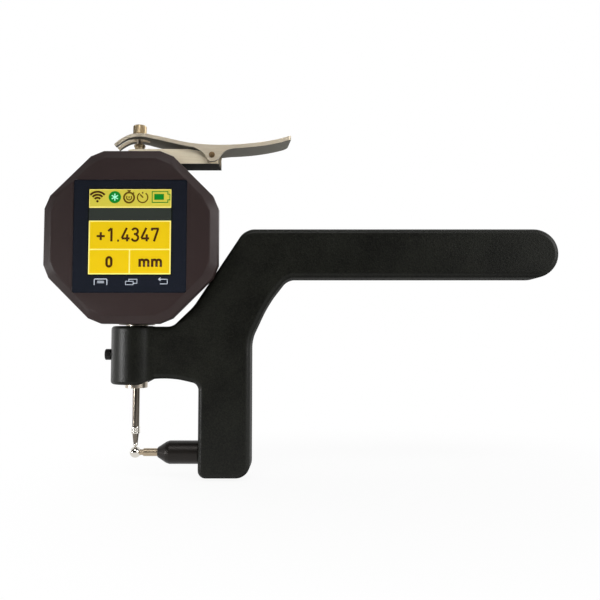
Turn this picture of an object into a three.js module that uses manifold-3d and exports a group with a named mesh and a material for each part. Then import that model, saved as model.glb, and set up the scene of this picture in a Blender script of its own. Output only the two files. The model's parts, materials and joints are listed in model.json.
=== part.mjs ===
// Digital thickness gauge for tube walls.
// A black cast frame with a long handle carries an octagonal touch-screen indicator over a
// ball-ended anvil. A fork lever on top of the indicator lifts the spindle by its knurled cap.
// Millimetres. X runs along the handle, Y from the display to the back, Z up the spindle.
// Frame sizes are taken from the point where the spindle touches the anvil.

import * as THREE from 'three';
import { mergeVertices } from 'three/addons/utils/BufferGeometryUtils.js';
import Module from 'manifold-3d';

const wasm = await Module();
wasm.setup();

// Frame casting
const frameThickness = 14;
const frameEdgeRadius = 2.5;
const throatDepth = 23.2; // spindle axis to the leg
const throatHeight = 22.4; // contact point to the underside of the boss
const throatCornerRadius = 2.6;
const archStart = 2.4; // spindle axis to where the arch begins, in the boss's underside
const archShoulderReach = 5.6;
const archShoulderRise = 1.7;
const archShoulderRadius = 4;
const archCrownReach = 12;
const archCrownRise = 2.8;
const archCrownRadius = 30;
const legWidth = 18.4;
const legDrop = 10.4; // the leg's foot below the contact point
const legToeRadius = 2.8;
const legHeelRadius = 5;
const bossHeight = 20.8;
const bossRadius = 9;
const bossRimRadius = 1.2;
const bossBlendRadius = 5;
const bossProud = 0.2; // the boss is faced this much proud of the arm
const rampAngle = 44; // degrees, the arm's upper edge next to the boss
const rampGap = 2.3; // ramp to the corners of the indicator's case
const rampRootRadius = 4;
const rampRadius = 14;
const inclineAngle = 56.7; // degrees, the arm's upper edge up to the handle
const inclineGap = 1.2; // incline to the corners of the indicator's case
const shoulderRadius = 6;
const handleHeight = 17.5;
const handleRise = 34.7; // top of the boss to the top of the handle
const handleReach = 110.2; // back of the leg to the end of the handle
const elbowReach = 13; // back of the leg to the corner under the handle
const elbowRadius = 5;
const braceReach = 6;
const braceDrop = 9; // under the handle
const braceRadius = 40;
const braceFootDrop = 21.9;
const braceFootRadius = 12;

// Clamp screw in the boss
const clampRise = 10.6; // over the underside of the boss
const clampScrewRadius = 2;
const clampScrewProud = 2.2;
const clampScrewLength = 4.9;
const clampSocketRadius = 1.1;
const clampSocketDepth = 1.6;

// Anvil
const anvilBallRadius = 2;
const anvilPinRadius = 1.4;
const anvilNeckRadius = 1;
const anvilNeckLength = 0.7;
const anvilPinReach = 17.8; // spindle axis to the pin's inner end
const holderNoseReach = 8.1; // spindle axis to the holder's nose
const holderNoseRadius = 1.75;
const holderNoseLength = 4.3;
const holderShoulderLength = 1.2;
const holderShoulderDrop = 0.4;
const holderRadius = 4.15;
const holderSpigotRadius = 3;
const holderSpigotLength = 11.5;
const anvilScrewRadius = 1.5;
const anvilScrewDepth = 8.1; // leg's inner side to the screw
const anvilScrewProud = 0.8;

// Octagonal front of the indicator
const bezelAcross = 61;
const bezelCornerCut = 2.7;
const bezelFront = 13; // spindle axis to the front face
const bezelChamferWidth = 2.8;
const bezelChamferDepth = 1.5;
const bezelFaceThickness = 2;
const bezelPocketAcross = 51.6;
const bezelRise = 0.6; // over the top of the boss
const bezelFrameGap = 0.4;
const glassSize = 39.6;
const glassThickness = 1;
const glassCornerRadius = 0.8;
const gasketThickness = 0.3;
const gasketWidth = 2.4;
const panelWidth = 33.5;
const panelHeight = 35;
const panelThickness = 2;

// Case behind the front
const caseAcross = 55.2;
const caseCornerCut = 2.4;
const caseWall = 2.4;
const caseBack = 9.6; // spindle axis to the back of the case
const coverThickness = 2;
const coverEdge = 0.6;
const postRadius = 2.7;
const postSink = 0.4; // into the wall
const postHeight = 9.3; // over and under the middle
const coverScrewRadius = 1.2;
const coverScrewHeadRadius = 2.2;
const coverScrewHeadHeight = 1;
const coverScrewTail = 0.8; // left between the screw and the front face's inside
const coverSlotWidth = 0.5;
const coverSlotDepth = 0.45;

// Inside the case
const boardAcross = 38.8;
const boardThickness = 1.6;
const boardOffset = 4.3; // spindle axis to the board's back
const ledgeReach = 3.6; // under the board's edge
const ledgeThickness = 2.8;
const ledgeHeight = 8;
const boardScrewInset = 2;
const boardScrewRadius = 0.7;
const boardScrewHeadRadius = 1.3;
const boardScrewHeadHeight = 0.8;
const boardScrewBite = 2;
const batteryWidth = 24;
const batteryHeight = 30;
const batteryThickness = 5;
const batteryShift = 6;
const batteryEdge = 0.8;
const carrierHeight = 8;
const carrierLeft = 4; // spindle axis to the carrier's guide side
const carrierRight = 6; // spindle axis to the carrier's scale side
const carrierDepth = 7.2;
const carrierShift = 0.5; // carrier's middle under the case's middle
const scaleThickness = 0.9;
const scaleDepth = 6;
const scaleLength = 28;
const headGap = 0.4;
const headWidth = 7;
const headDepth = 7;
const headHeight = 12;
const railWidth = 5;
const railGap = 3; // carrier to rail
const railHalfDepth = 2.6;
const railBelow = 6;
const railAbove = 14;
const railWeb = 1;
const guidePinRadius = 1;
const guidePinReach = 6.5; // out of the carrier

// Stem, bushes and spindle
const stemRadius = 4; // the standard clamp stem of 8 mm
const stemBoreRadius = 2.55;
const stemProud = 1.4; // under the boss
const stemThread = 3.2; // above the case's floor
const collarRadius = 6.5;
const collarGap = 0.5; // over the boss
const stemNutRadius = 6.2;
const stemNutHeight = 2.8;
const lowerBushInset = 3.2; // above the stem's lower end
const lowerBushLength = 14;
const spindleRadius = 2;
const spindleInset = 1; // spindle's lower end under the bush's lower end
const spindleTailRadius = 1.1; // the thin upper end
const liftStroke = 9;
const stepMargin = 1.2;
const neckRadius = 2.8;
const neckChamfer = 0.9;
const neckGap = 0.6; // neck to the lever's underside
const neckFlangeRadius = 4.6;
const neckFlangeHeight = 1.5;
const neckNutRadius = 3.7;
const neckNutHeight = 2.3;
const extensionRadius = 1.25;
const studRadius = 0.85;
const studLength = 3;
const contactCollarRadius = 1.55;
const contactCollarTop = 7.1;
const contactCollarLength = 2.5;
const contactShoulder = 0.2;
const contactConeRadius = 1.15;
const contactTipRadius = 0.72;
const contactBallRadius = 0.9;
const springRadius = 3;
const springWireRadius = 0.25;
const springTurns = 9;

// Lifting cap
const capRadius = 2.45;
const capHeight = 4.6;
const capGap = 0.42; // over the lever
const capEdge = 0.4;
const capFluteDepth = 0.2;
const capRoof = 1;

// Lever bracket on top of the case
const bracketWidth = 10;
const bracketHeight = 5.4;
const bracketWall = 1.2;
const bracketNeckHeight = 4.6; // cheeks beside the pivot
const bracketStepReach = 4; // pivot to where the cheeks step down
const bracketRampLength = 5;
const bracketEndReach = 2.2; // pivot to the bracket's end
const bracketEndRadius = 2;
const pivotReach = 27.5; // spindle axis to the lever's pivot
const pivotRise = 2.9; // case to pivot
const pinRadius = 0.8;
const pinHeadRadius = 1.1;
const pinHeadHeight = 0.25;

// Lifting lever
const leverWidth = 13;
const leverThickness = 1.5;
const leverCornerRadius = 1.8;
const forkOverhang = 7.4; // past the spindle axis
const forkTipRise = 4.3; // heights here are over the pivot
const archReach = 0.96;
const leverArchRise = 8.5;
const leverArchRadius = 13;
const sagReach = 6;
const sagRise = 0.7;
const sagRadius = 90;
const thumbReach = 28.5;
const thumbRise = 6.7;
const thumbFront = 5.2; // the thumb end's half width in front, where it runs on from the ear
const thumbBack = 4.2; // and behind
const thumbTaperReach = 11; // pivot to where the front begins to taper
const waistReach = 5.6; // pivot to where the back has drawn in
const waistRadius = 2.5;
const thumbCornerRadius = 2.6;
const forkSlotWidth = 3.4;
const forkSlotReach = 3.8; // past the spindle axis, towards the pivot
const earThickness = 1.2;
const earRadius = 2.2;
const earLeftReach = 9.5;
const earRightReach = 9.5;
const earNotchReach = 4.4;
const earNotchRise = 1.4;
const earNotchRadius = 3;

// Fits
const slideFit = 0.05; // radius to radius, for what slides or turns
const seatFit = 0.03; // radius to radius, for what is pressed or screwed in
const touchGap = 0.05;
const overrun = 1; // how far a cutting tool runs past the wall
const facetSag = 0.02; // furthest that a flat facet may lie from its arc
const weldDistance = 0.00001;

// Counts
const largeSides = 40;
const smallSides = 20;
const ballRings = 10;
const bossSteps = 30;
const blendSteps = 4;
const edgeSteps = 3;
const springTurnSteps = 8;
const springSides = 5;
const capFlutes = 24;

const quarterTurn = Math.PI / 2;
const fullTurn = Math.PI * 2;

const finishes = {
  blackPaint: { color: 0x1f201d, roughness: 0.62, metalness: 0.1 },
  blackSteel: { color: 0x1b1a19, roughness: 0.45, metalness: 0.8 },
  blackAnodised: { color: 0x2a2320, roughness: 0.5, metalness: 0.3 },
  bezel: { color: 0x382c2c, roughness: 0.5, metalness: 0.2 },
  caseBlack: { color: 0x242222, roughness: 0.55, metalness: 0.2 },
  nickel: { color: 0xc4b9a4, roughness: 0.3, metalness: 1 },
  steel: { color: 0xb9b2a8, roughness: 0.22, metalness: 1 },
  brass: { color: 0xb5924c, roughness: 0.35, metalness: 1 },
  carbide: { color: 0xd8d4cc, roughness: 0.1, metalness: 1 },
  glass: { color: 0x191e32, roughness: 0.05, metalness: 0 },
  screen: { color: 0xecc814, roughness: 0.4, metalness: 0 },
  rubber: { color: 0x151515, roughness: 0.9, metalness: 0 },
  board: { color: 0x1d5a34, roughness: 0.6, metalness: 0 },
  cell: { color: 0x8d9196, roughness: 0.5, metalness: 0.4 },
  scaleGlass: { color: 0xa9c4c8, roughness: 0.1, metalness: 0 },
  acetal: { color: 0xe6e3da, roughness: 0.5, metalness: 0 },
};

// A closed solid from any closed geometry, with its faces turned outwards.
function solid(geometry) {
  geometry.deleteAttribute('normal');
  geometry.deleteAttribute('uv');
  const welded = mergeVertices(geometry, weldDistance);
  const points = welded.attributes.position.array;
  const corners = welded.index.array;
  const faces = [];
  let volume = 0;
  const a = new THREE.Vector3();
  const b = new THREE.Vector3();
  const c = new THREE.Vector3();
  for (let i = 0; i < corners.length; i += 3) {
    const [p, q, r] = [corners[i], corners[i + 1], corners[i + 2]];
    if (p === q || q === r || r === p) continue;
    faces.push([p, q, r]);
    a.fromArray(points, p * 3);
    b.fromArray(points, q * 3);
    c.fromArray(points, r * 3);
    volume += a.dot(b.cross(c));
  }
  const outward = volume < 0 ? faces.map(([p, q, r]) => [p, r, q]) : faces;
  return new wasm.Manifold(new wasm.Mesh({
    numProp: 3,
    vertProperties: Float32Array.from(points),
    triVerts: Uint32Array.from(outward.flat()),
  }));
}

// The finished solid as a named mesh.
function piece(name, body, finish) {
  const { vertProperties, triVerts } = body.getMesh();
  const geometry = new THREE.BufferGeometry();
  geometry.setAttribute('position', new THREE.BufferAttribute(vertProperties, 3));
  geometry.setIndex(new THREE.BufferAttribute(triVerts, 1));
  geometry.computeVertexNormals();
  const mesh = new THREE.Mesh(geometry, new THREE.MeshStandardMaterial(finish));
  mesh.name = name;
  return mesh;
}

// Rounds the corners of a path. Each corner is [x, y, radius]. Where two neighbouring
// fillets would not both fit on the edge between them, they share it.
function rounded(corners, closed = true) {
  const count = corners.length;
  const spots = corners.map(([x, y]) => new THREE.Vector2(x, y));
  const radii = corners.map(([, , radius = 0]) => radius);
  const halfAngles = spots.map((spot, i) => {
    const back = spots[(i + count - 1) % count].clone().sub(spot).normalize();
    const ahead = spots[(i + 1) % count].clone().sub(spot).normalize();
    return Math.acos(THREE.MathUtils.clamp(back.dot(ahead), -1, 1)) / 2;
  });
  const runs = radii.map((radius, i) => radius / Math.tan(halfAngles[i]));
  const shrink = runs.map(() => 1);
  for (let i = 0; i < count; i += 1) {
    const j = (i + 1) % count;
    const edge = spots[i].distanceTo(spots[j]);
    const share = Math.min(1, edge / Math.max(runs[i] + runs[j], edge));
    shrink[i] = Math.min(shrink[i], share);
    shrink[j] = Math.min(shrink[j], share);
  }
  const path = [];
  const add = (point) => {
    const last = path[path.length - 1];
    if (!last || last.distanceTo(point) > facetSag / 2) path.push(point);
  };
  for (let i = 0; i < count; i += 1) {
    const atEnd = !closed && (i === 0 || i === count - 1);
    if (radii[i] === 0 || atEnd) {
      add(spots[i]);
      continue;
    }
    const back = spots[(i + count - 1) % count].clone().sub(spots[i]).normalize();
    const ahead = spots[(i + 1) % count].clone().sub(spots[i]).normalize();
    const run = runs[i] * shrink[i];
    const radius = run * Math.tan(halfAngles[i]);
    const middle = back.clone().add(ahead).normalize();
    const centre = spots[i].clone().addScaledVector(middle, radius / Math.sin(halfAngles[i]));
    const start = spots[i].clone().addScaledVector(back, run).sub(centre);
    const turn = Math.sign(back.cross(ahead)) * (Math.PI - 2 * halfAngles[i]);
    const facet = 2 * Math.acos(1 - Math.min(facetSag / radius, 1));
    const steps = Math.max(2, Math.ceil(Math.abs(turn) / facet));
    for (let k = 0; k <= steps; k += 1) {
      const spoke = start.clone().rotateAround(new THREE.Vector2(), (-turn * k) / steps);
      add(spoke.add(centre));
    }
  }
  if (closed && path[0].distanceTo(path[path.length - 1]) <= facetSag / 2) path.pop();
  return path;
}

function extrusion(outline, length, edge, steps) {
  return new THREE.ExtrudeGeometry(new THREE.Shape(outline), {
    depth: length - 2 * edge,
    bevelEnabled: edge > 0,
    bevelThickness: edge,
    bevelSize: edge,
    bevelOffset: -edge,
    bevelSegments: steps,
    steps: 1,
  }).translate(0, 0, edge);
}

// An outline in X and Z, with its thickness from front to back along Y.
function plate(outline, front, back, edge = 0, steps = 1) {
  const geometry = extrusion(outline, back - front, edge, steps);
  return solid(geometry.rotateX(quarterTurn).translate(0, back, 0));
}

// An outline in X and Y, standing from low to high along Z.
function column(outline, low, high, edge = 0, steps = 1) {
  return solid(extrusion(outline, high - low, edge, steps).translate(0, 0, low));
}

// A turned piece. The profile is [radius, distance along the axis] all the way round.
function turned(axis, profile, sides = smallSides, [x, y, z] = [0, 0, 0]) {
  const points = profile.map(([radius, along]) => new THREE.Vector2(radius, along));
  const geometry = new THREE.LatheGeometry(points, sides);
  if (axis === 'x') geometry.rotateZ(-quarterTurn);
  if (axis === 'z') geometry.rotateX(quarterTurn);
  return solid(geometry.translate(x, y, z));
}

function rod(axis, radius, low, high, sides, place) {
  return turned(axis, [[0, low], [radius, low], [radius, high], [0, high]], sides, place);
}

function tube(axis, inner, outer, low, high, sides, place) {
  const profile = [[inner, low], [outer, low], [outer, high], [inner, high], [inner, low]];
  return turned(axis, profile, sides, place);
}

function block(low, high) {
  const size = high.map((value, i) => value - low[i]);
  const middle = high.map((value, i) => (value + low[i]) / 2);
  return solid(new THREE.BoxGeometry(...size).translate(...middle));
}

function ball(radius, [x, y, z]) {
  return solid(new THREE.SphereGeometry(radius, smallSides, ballRings).translate(x, y, z));
}

function arc([x, y], radius, from, to, steps) {
  const points = [];
  for (let i = 0; i <= steps; i += 1) {
    const angle = from + ((to - from) * i) / steps;
    points.push(new THREE.Vector2(x + radius * Math.cos(angle), y + radius * Math.sin(angle)));
  }
  return points;
}

function rectangle(width, height, radius = 0, [x, y] = [0, 0]) {
  return rounded([
    [x - width / 2, y - height / 2, radius],
    [x + width / 2, y - height / 2, radius],
    [x + width / 2, y + height / 2, radius],
    [x - width / 2, y + height / 2, radius],
  ]);
}

// A regular octagon on its flat, each corner cut off by a small flat of its own.
function octagon(across, cut) {
  const points = [];
  const side = across * Math.tan(Math.PI / 8);
  for (let i = 0; i < 8; i += 1) {
    const angle = (i * Math.PI) / 4;
    for (const along of [cut - side / 2, side / 2 - cut]) {
      points.push(new THREE.Vector2(across / 2, along).rotateAround(new THREE.Vector2(), angle));
    }
  }
  return points;
}

// A straight-sided body between rings of equally many points at rising places along Y.
function stack(rings) {
  const count = rings[0].outline.length;
  const positions = rings.flatMap(({ outline, y }) => outline.flatMap((p) => [p.x, y, p.y]));
  const index = [];
  for (let r = 0; r + 1 < rings.length; r += 1) {
    for (let i = 0; i < count; i += 1) {
      const j = (i + 1) % count;
      const [a, b] = [r * count + i, r * count + j];
      const [c, d] = [a + count, b + count];
      index.push(a, b, d, a, d, c);
    }
  }
  const last = (rings.length - 1) * count;
  for (let i = 1; i + 1 < count; i += 1) {
    index.push(0, i + 1, i, last, last + i, last + i + 1);
  }
  const geometry = new THREE.BufferGeometry();
  geometry.setAttribute('position', new THREE.Float32BufferAttribute(positions, 3));
  geometry.setIndex(index);
  return solid(geometry);
}

// A straight edge around the case: its direction, and its distance from the case's middle.
function edgeLine(degrees, distance, [x, z]) {
  const angle = THREE.MathUtils.degToRad(degrees);
  const along = [Math.cos(angle), Math.sin(angle)];
  return { along, from: [x + along[1] * distance, z - along[0] * distance] };
}

function meet(first, second) {
  const [ux, uz] = first.along;
  const [vx, vz] = second.along;
  const [dx, dz] = [second.from[0] - first.from[0], second.from[1] - first.from[1]];
  const reach = (dx * vz - dz * vx) / (ux * vz - uz * vx);
  return [first.from[0] + ux * reach, first.from[1] + uz * reach];
}

function level(height) {
  return { along: [1, 0], from: [0, height] };
}

// Height of a path at one place along X.
function heightAt(path, x) {
  const i = path.findIndex((point, k) => k > 0 && (path[k - 1].x - x) * (point.x - x) <= 0);
  const [a, b] = [path[i - 1], path[i]];
  return a.y + ((b.y - a.y) * (x - a.x)) / (b.x - a.x);
}

// Places that several pieces share
const bossTop = throatHeight + bossHeight;
const legBack = throatDepth + legWidth;
const handleTop = bossTop + handleRise;
const handleBottom = handleTop - handleHeight;
const handleEnd = legBack + handleReach;
const frameFront = -frameThickness / 2;
const frameBack = frameThickness / 2;
const anvilHeight = -(anvilBallRadius + touchGap);
const clampHeight = throatHeight + clampRise;
const middleHeight = bossTop + bezelRise + bezelAcross / 2;
const bezelBack = frameFront - bezelFrameGap;
const bezelFace = -bezelFront;
const caseTop = caseAcross / 2;
const caseInner = caseTop - caseWall;
const pivotHeight = caseTop + pivotRise;
const stemBottom = throatHeight - stemProud;
const postReach = caseInner - postRadius + postSink;
const posts = [
  ['upper_left', -postReach, postHeight],
  ['upper_right', postReach, postHeight],
  ['lower_left', -postReach, -postHeight],
  ['lower_right', postReach, -postHeight],
];

// The lever's upper side, from the fork's tip to the thumb end, taken from the pivot
const leverPath = rounded([
  [-pivotReach - forkOverhang, forkTipRise],
  [archReach - pivotReach, leverArchRise, leverArchRadius],
  [sagReach, sagRise, sagRadius],
  [thumbReach, thumbRise],
], false);
const leverTop = pivotHeight + heightAt(leverPath, -pivotReach);
const capBottom = leverTop + capGap;
const neckTop = leverTop - leverThickness - neckGap;

function makeFrame() {
  const middle = [0, middleHeight];
  const cornerRadius = caseTop / Math.cos(Math.PI / 8);
  const ramp = edgeLine(rampAngle, cornerRadius + rampGap, middle);
  const incline = edgeLine(inclineAngle, cornerRadius + inclineGap, middle);
  const armTop = bossTop - bossProud;
  const arch = [
    [archStart, throatHeight],
    [archShoulderReach, throatHeight + archShoulderRise, archShoulderRadius],
    [archCrownReach, throatHeight + archCrownRise, archCrownRadius],
    [throatDepth, throatHeight + bossProud, throatCornerRadius],
  ];
  const outline = rounded([
    [-bossRadius / 2, armTop],
    [-bossRadius / 2, throatHeight],
    ...arch,
    [throatDepth, -legDrop, legToeRadius],
    [legBack, -legDrop, legHeelRadius],
    [legBack, handleBottom - braceFootDrop, braceFootRadius],
    [legBack + braceReach, handleBottom - braceDrop, braceRadius],
    [legBack + elbowReach, handleBottom, elbowRadius],
    [handleEnd, handleBottom, handleHeight / 2],
    [handleEnd, handleTop, handleHeight / 2],
    [...meet(incline, level(handleTop)), shoulderRadius],
    [...meet(ramp, incline), rampRadius],
    [...meet(ramp, level(armTop)), rampRootRadius],
  ]);
  const arm = plate(outline, frameFront, frameBack, frameEdgeRadius, edgeSteps);

  // The boss is round, and runs out into the arm with a fillet on each side. The arch
  // under the arm is carried through it.
  const blendReach = bossRadius + bossBlendRadius;
  const blendSide = frameBack + bossBlendRadius;
  const blendX = Math.sqrt(blendReach ** 2 - blendSide ** 2);
  const blendAngle = Math.atan2(blendSide, blendX);
  const plan = [
    ...arc([0, 0], bossRadius, blendAngle, fullTurn - blendAngle, bossSteps),
    ...arc([blendX, -blendSide], bossBlendRadius, Math.PI - blendAngle, quarterTurn, blendSteps)
      .slice(1),
    ...arc([blendX, blendSide], bossBlendRadius, -quarterTurn, blendAngle - Math.PI, blendSteps)
      .slice(0, -1),
  ];
  const boss = column(plan, throatHeight, bossTop, bossRimRadius, edgeSteps)
    .intersect(plate(rounded([
      [-blendSide, throatHeight],
      ...arch,
      [throatDepth, bossTop + overrun],
      [-blendSide, bossTop + overrun],
    ]), -blendSide, blendSide));

  const cuts = [
    rod('z', stemRadius + seatFit, throatHeight - overrun, bossTop + overrun, largeSides),
    rod('x', clampScrewRadius + seatFit, -bossRadius - overrun, 0, smallSides,
      [0, 0, clampHeight]),
    rod('x', holderSpigotRadius + seatFit, throatDepth - overrun,
      throatDepth + holderSpigotLength + seatFit, largeSides, [0, 0, anvilHeight]),
    rod('z', anvilScrewRadius + seatFit, -legDrop - overrun, anvilHeight, smallSides,
      [throatDepth + anvilScrewDepth, 0, 0]),
  ];
  return cuts.reduce((body, cut) => body.subtract(cut), arm.add(boss));
}

function makeClamp() {
  const outer = -bossRadius - clampScrewProud;
  const inner = outer + clampScrewLength;
  const screw = turned('x', [
    [0, outer + clampSocketDepth],
    [clampSocketRadius, outer + clampSocketDepth],
    [clampSocketRadius, outer],
    [clampScrewRadius - capEdge, outer],
    [clampScrewRadius, outer + capEdge],
    [clampScrewRadius, inner],
    [0, inner],
  ], smallSides, [0, 0, clampHeight]);
  const pad = rod('x', clampScrewRadius, inner + touchGap, -stemRadius - touchGap, smallSides,
    [0, 0, clampHeight]);
  return [
    piece('stem_clamp_screw', screw, finishes.blackSteel),
    piece('stem_clamp_pad', pad, finishes.brass),
  ];
}

function makeAnvil() {
  const place = [0, 0, anvilHeight];
  const noseEnd = holderNoseReach + holderNoseLength;
  const spigotEnd = throatDepth + holderSpigotLength;
  const holder = turned('x', [
    [0, anvilPinReach + touchGap],
    [anvilPinRadius + seatFit, anvilPinReach + touchGap],
    [anvilPinRadius + seatFit, holderNoseReach],
    [holderNoseRadius, holderNoseReach],
    [holderRadius - holderShoulderDrop, noseEnd - holderShoulderLength],
    [holderRadius, noseEnd],
    [holderRadius, throatDepth],
    [holderSpigotRadius, throatDepth],
    [holderSpigotRadius, spigotEnd],
    [0, spigotEnd],
  ], largeSides, place);
  const neckEnd = anvilBallRadius + anvilNeckLength;
  const pin = turned('x', [
    [0, anvilNeckRadius],
    [anvilNeckRadius, anvilNeckRadius],
    [anvilNeckRadius, neckEnd],
    [anvilPinRadius, neckEnd + anvilPinRadius - anvilNeckRadius],
    [anvilPinRadius, anvilPinReach],
    [0, anvilPinReach],
  ], smallSides, place).subtract(ball(anvilBallRadius + seatFit, place));
  const screw = rod('z', anvilScrewRadius, -legDrop - anvilScrewProud,
    anvilHeight - holderSpigotRadius - touchGap, smallSides,
    [throatDepth + anvilScrewDepth, 0, 0]);
  return [
    piece('anvil_holder', holder, finishes.blackAnodised),
    piece('anvil_pin', pin, finishes.steel),
    piece('anvil_ball', ball(anvilBallRadius, place), finishes.carbide),
    piece('anvil_set_screw', screw, finishes.blackSteel),
  ];
}

// Everything from here to makeBracket lies about the middle of the octagon.

function makeFront() {
  const chamferBack = bezelFace + bezelChamferDepth;
  const faceBack = bezelFace + bezelFaceThickness;
  const glassBack = bezelFace + glassThickness;
  const gasketBack = glassBack + gasketThickness;
  const windowSize = glassSize - 2 * gasketWidth;
  const body = stack([
    { outline: octagon(bezelAcross - 2 * bezelChamferWidth, bezelCornerCut), y: bezelFace },
    { outline: octagon(bezelAcross, bezelCornerCut), y: chamferBack },
    { outline: octagon(bezelAcross, bezelCornerCut), y: bezelBack },
  ]);
  const pocket = plate(octagon(bezelPocketAcross, bezelCornerCut), faceBack, bezelBack + overrun);
  const recess = plate(rectangle(glassSize + 2 * slideFit, glassSize + 2 * slideFit,
    glassCornerRadius), bezelFace - overrun, gasketBack);
  const opening = plate(rectangle(windowSize, windowSize), bezelFace, faceBack + overrun);
  let housing = body.subtract(pocket).subtract(recess).subtract(opening);
  const screwEnd = faceBack + coverScrewTail;
  for (const [, x, z] of posts) {
    const place = [x, 0, z];
    housing = housing.add(rod('y', postRadius, faceBack - touchGap, bezelBack, smallSides, place));
    housing = housing.subtract(
      rod('y', coverScrewRadius + seatFit, screwEnd, bezelBack + overrun, smallSides, place));
  }
  const glass = plate(rectangle(glassSize, glassSize, glassCornerRadius), bezelFace, glassBack);
  const gasket = plate(rectangle(glassSize, glassSize, glassCornerRadius), glassBack, gasketBack)
    .subtract(plate(rectangle(windowSize, windowSize), glassBack - overrun, gasketBack + overrun));
  const panel = plate(rectangle(panelWidth, panelHeight), faceBack, faceBack + panelThickness);
  return [
    piece('front_housing', housing, finishes.bezel),
    piece('display_glass', glass, finishes.glass),
    piece('display_gasket', gasket, finishes.rubber),
    piece('display_panel', panel, finishes.screen),
  ];
}

function makeCase() {
  const outside = octagon(caseAcross, caseCornerCut);
  const inside = octagon(2 * caseInner, caseCornerCut);
  const ledgeEnd = boardAcross / 2 - ledgeReach;
  let shell = plate(outside, bezelBack, caseBack)
    .subtract(plate(inside, bezelBack - overrun, caseBack + overrun));
  for (const [, x, z] of posts) {
    shell = shell.add(rod('y', postRadius, bezelBack, caseBack, smallSides, [x, 0, z]));
    shell = shell.subtract(rod('y', coverScrewRadius + seatFit, bezelBack - overrun,
      caseBack + overrun, smallSides, [x, 0, z]));
  }
  for (const side of [-1, 1]) {
    const ends = [side * ledgeEnd, side * (caseInner + postSink)].sort((a, b) => a - b);
    const screwX = side * (boardAcross / 2 - boardScrewInset);
    shell = shell.add(block([ends[0], -boardOffset, -ledgeHeight / 2],
      [ends[1], ledgeThickness - boardOffset, ledgeHeight / 2]));
    shell = shell.subtract(rod('y', boardScrewRadius + seatFit, -boardOffset - overrun,
      boardScrewBite - boardOffset + touchGap, smallSides, [screwX, 0, 0]));
  }
  shell = shell
    .subtract(rod('z', stemRadius + seatFit, -caseTop - overrun, -caseInner + overrun, largeSides))
    .subtract(rod('z', neckRadius + seatFit, caseInner - overrun, caseTop + overrun, smallSides));

  const coverBack = caseBack + coverThickness;
  const headFace = coverBack - coverScrewHeadHeight;
  let cover = stack([
    { outline: outside, y: caseBack },
    { outline: outside, y: coverBack - coverEdge },
    { outline: octagon(caseAcross - 2 * coverEdge, caseCornerCut), y: coverBack },
  ]);
  const screws = [];
  for (const [name, x, z] of posts) {
    const place = [x, 0, z];
    cover = cover
      .subtract(rod('y', coverScrewRadius + seatFit, caseBack - overrun, coverBack, smallSides,
        place))
      .subtract(rod('y', coverScrewHeadRadius + slideFit, headFace, coverBack + overrun,
        smallSides, place));
    const screw = turned('y', [
      [0, bezelFace + bezelFaceThickness + coverScrewTail + touchGap],
      [coverScrewRadius, bezelFace + bezelFaceThickness + coverScrewTail + touchGap],
      [coverScrewRadius, headFace],
      [coverScrewHeadRadius, headFace],
      [coverScrewHeadRadius, coverBack],
      [0, coverBack],
    ], smallSides, place).subtract(block(
      [x - coverSlotWidth / 2, coverBack - coverSlotDepth, z - coverScrewHeadRadius - overrun],
      [x + coverSlotWidth / 2, coverBack + overrun, z + coverScrewHeadRadius + overrun],
    ));
    screws.push(piece(`cover_screw_${name}`, screw, finishes.blackSteel));
  }
  return [
    piece('rear_housing', shell, finishes.caseBlack),
    piece('rear_cover', cover, finishes.caseBlack),
    ...screws,
  ];
}

function makeElectronics() {
  const boardFront = -boardOffset - boardThickness;
  let board = plate(octagon(boardAcross, caseCornerCut), boardFront, -boardOffset);
  const screws = [];
  for (const [name, side] of [['left', -1], ['right', 1]]) {
    const place = [side * (boardAcross / 2 - boardScrewInset), 0, 0];
    board = board.subtract(rod('y', boardScrewRadius + seatFit, boardFront - overrun,
      overrun - boardOffset, smallSides, place));
    const screw = turned('y', [
      [0, boardFront - boardScrewHeadHeight],
      [boardScrewHeadRadius, boardFront - boardScrewHeadHeight],
      [boardScrewHeadRadius, boardFront],
      [boardScrewRadius, boardFront],
      [boardScrewRadius, boardScrewBite - boardOffset],
      [0, boardScrewBite - boardOffset],
    ], smallSides, place);
    screws.push(piece(`board_screw_${name}`, screw, finishes.steel));
  }
  const battery = plate(rectangle(batteryWidth, batteryHeight, 2 * batteryEdge, [batteryShift, 0]),
    caseBack - batteryThickness, caseBack, batteryEdge, 2);
  const headLeft = carrierRight + scaleThickness + headGap;
  const head = block([headLeft, -boardOffset, -headHeight / 2],
    [headLeft + headWidth, headDepth - boardOffset, headHeight / 2]);
  const railRight = -carrierLeft - railGap;
  const slot = block(
    [railRight - railWidth + railWeb, -guidePinRadius - slideFit, -railBelow - overrun],
    [railRight + overrun, guidePinRadius + slideFit, railAbove + overrun],
  );
  const rail = block([railRight - railWidth, -railHalfDepth, -railBelow],
    [railRight, caseBack, railAbove]).subtract(slot);
  return [
    piece('main_board', board, finishes.board),
    ...screws,
    piece('battery', battery, finishes.cell),
    piece('reading_head', head, finishes.blackAnodised),
    piece('guide_rail', rail, finishes.acetal),
  ];
}

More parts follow.
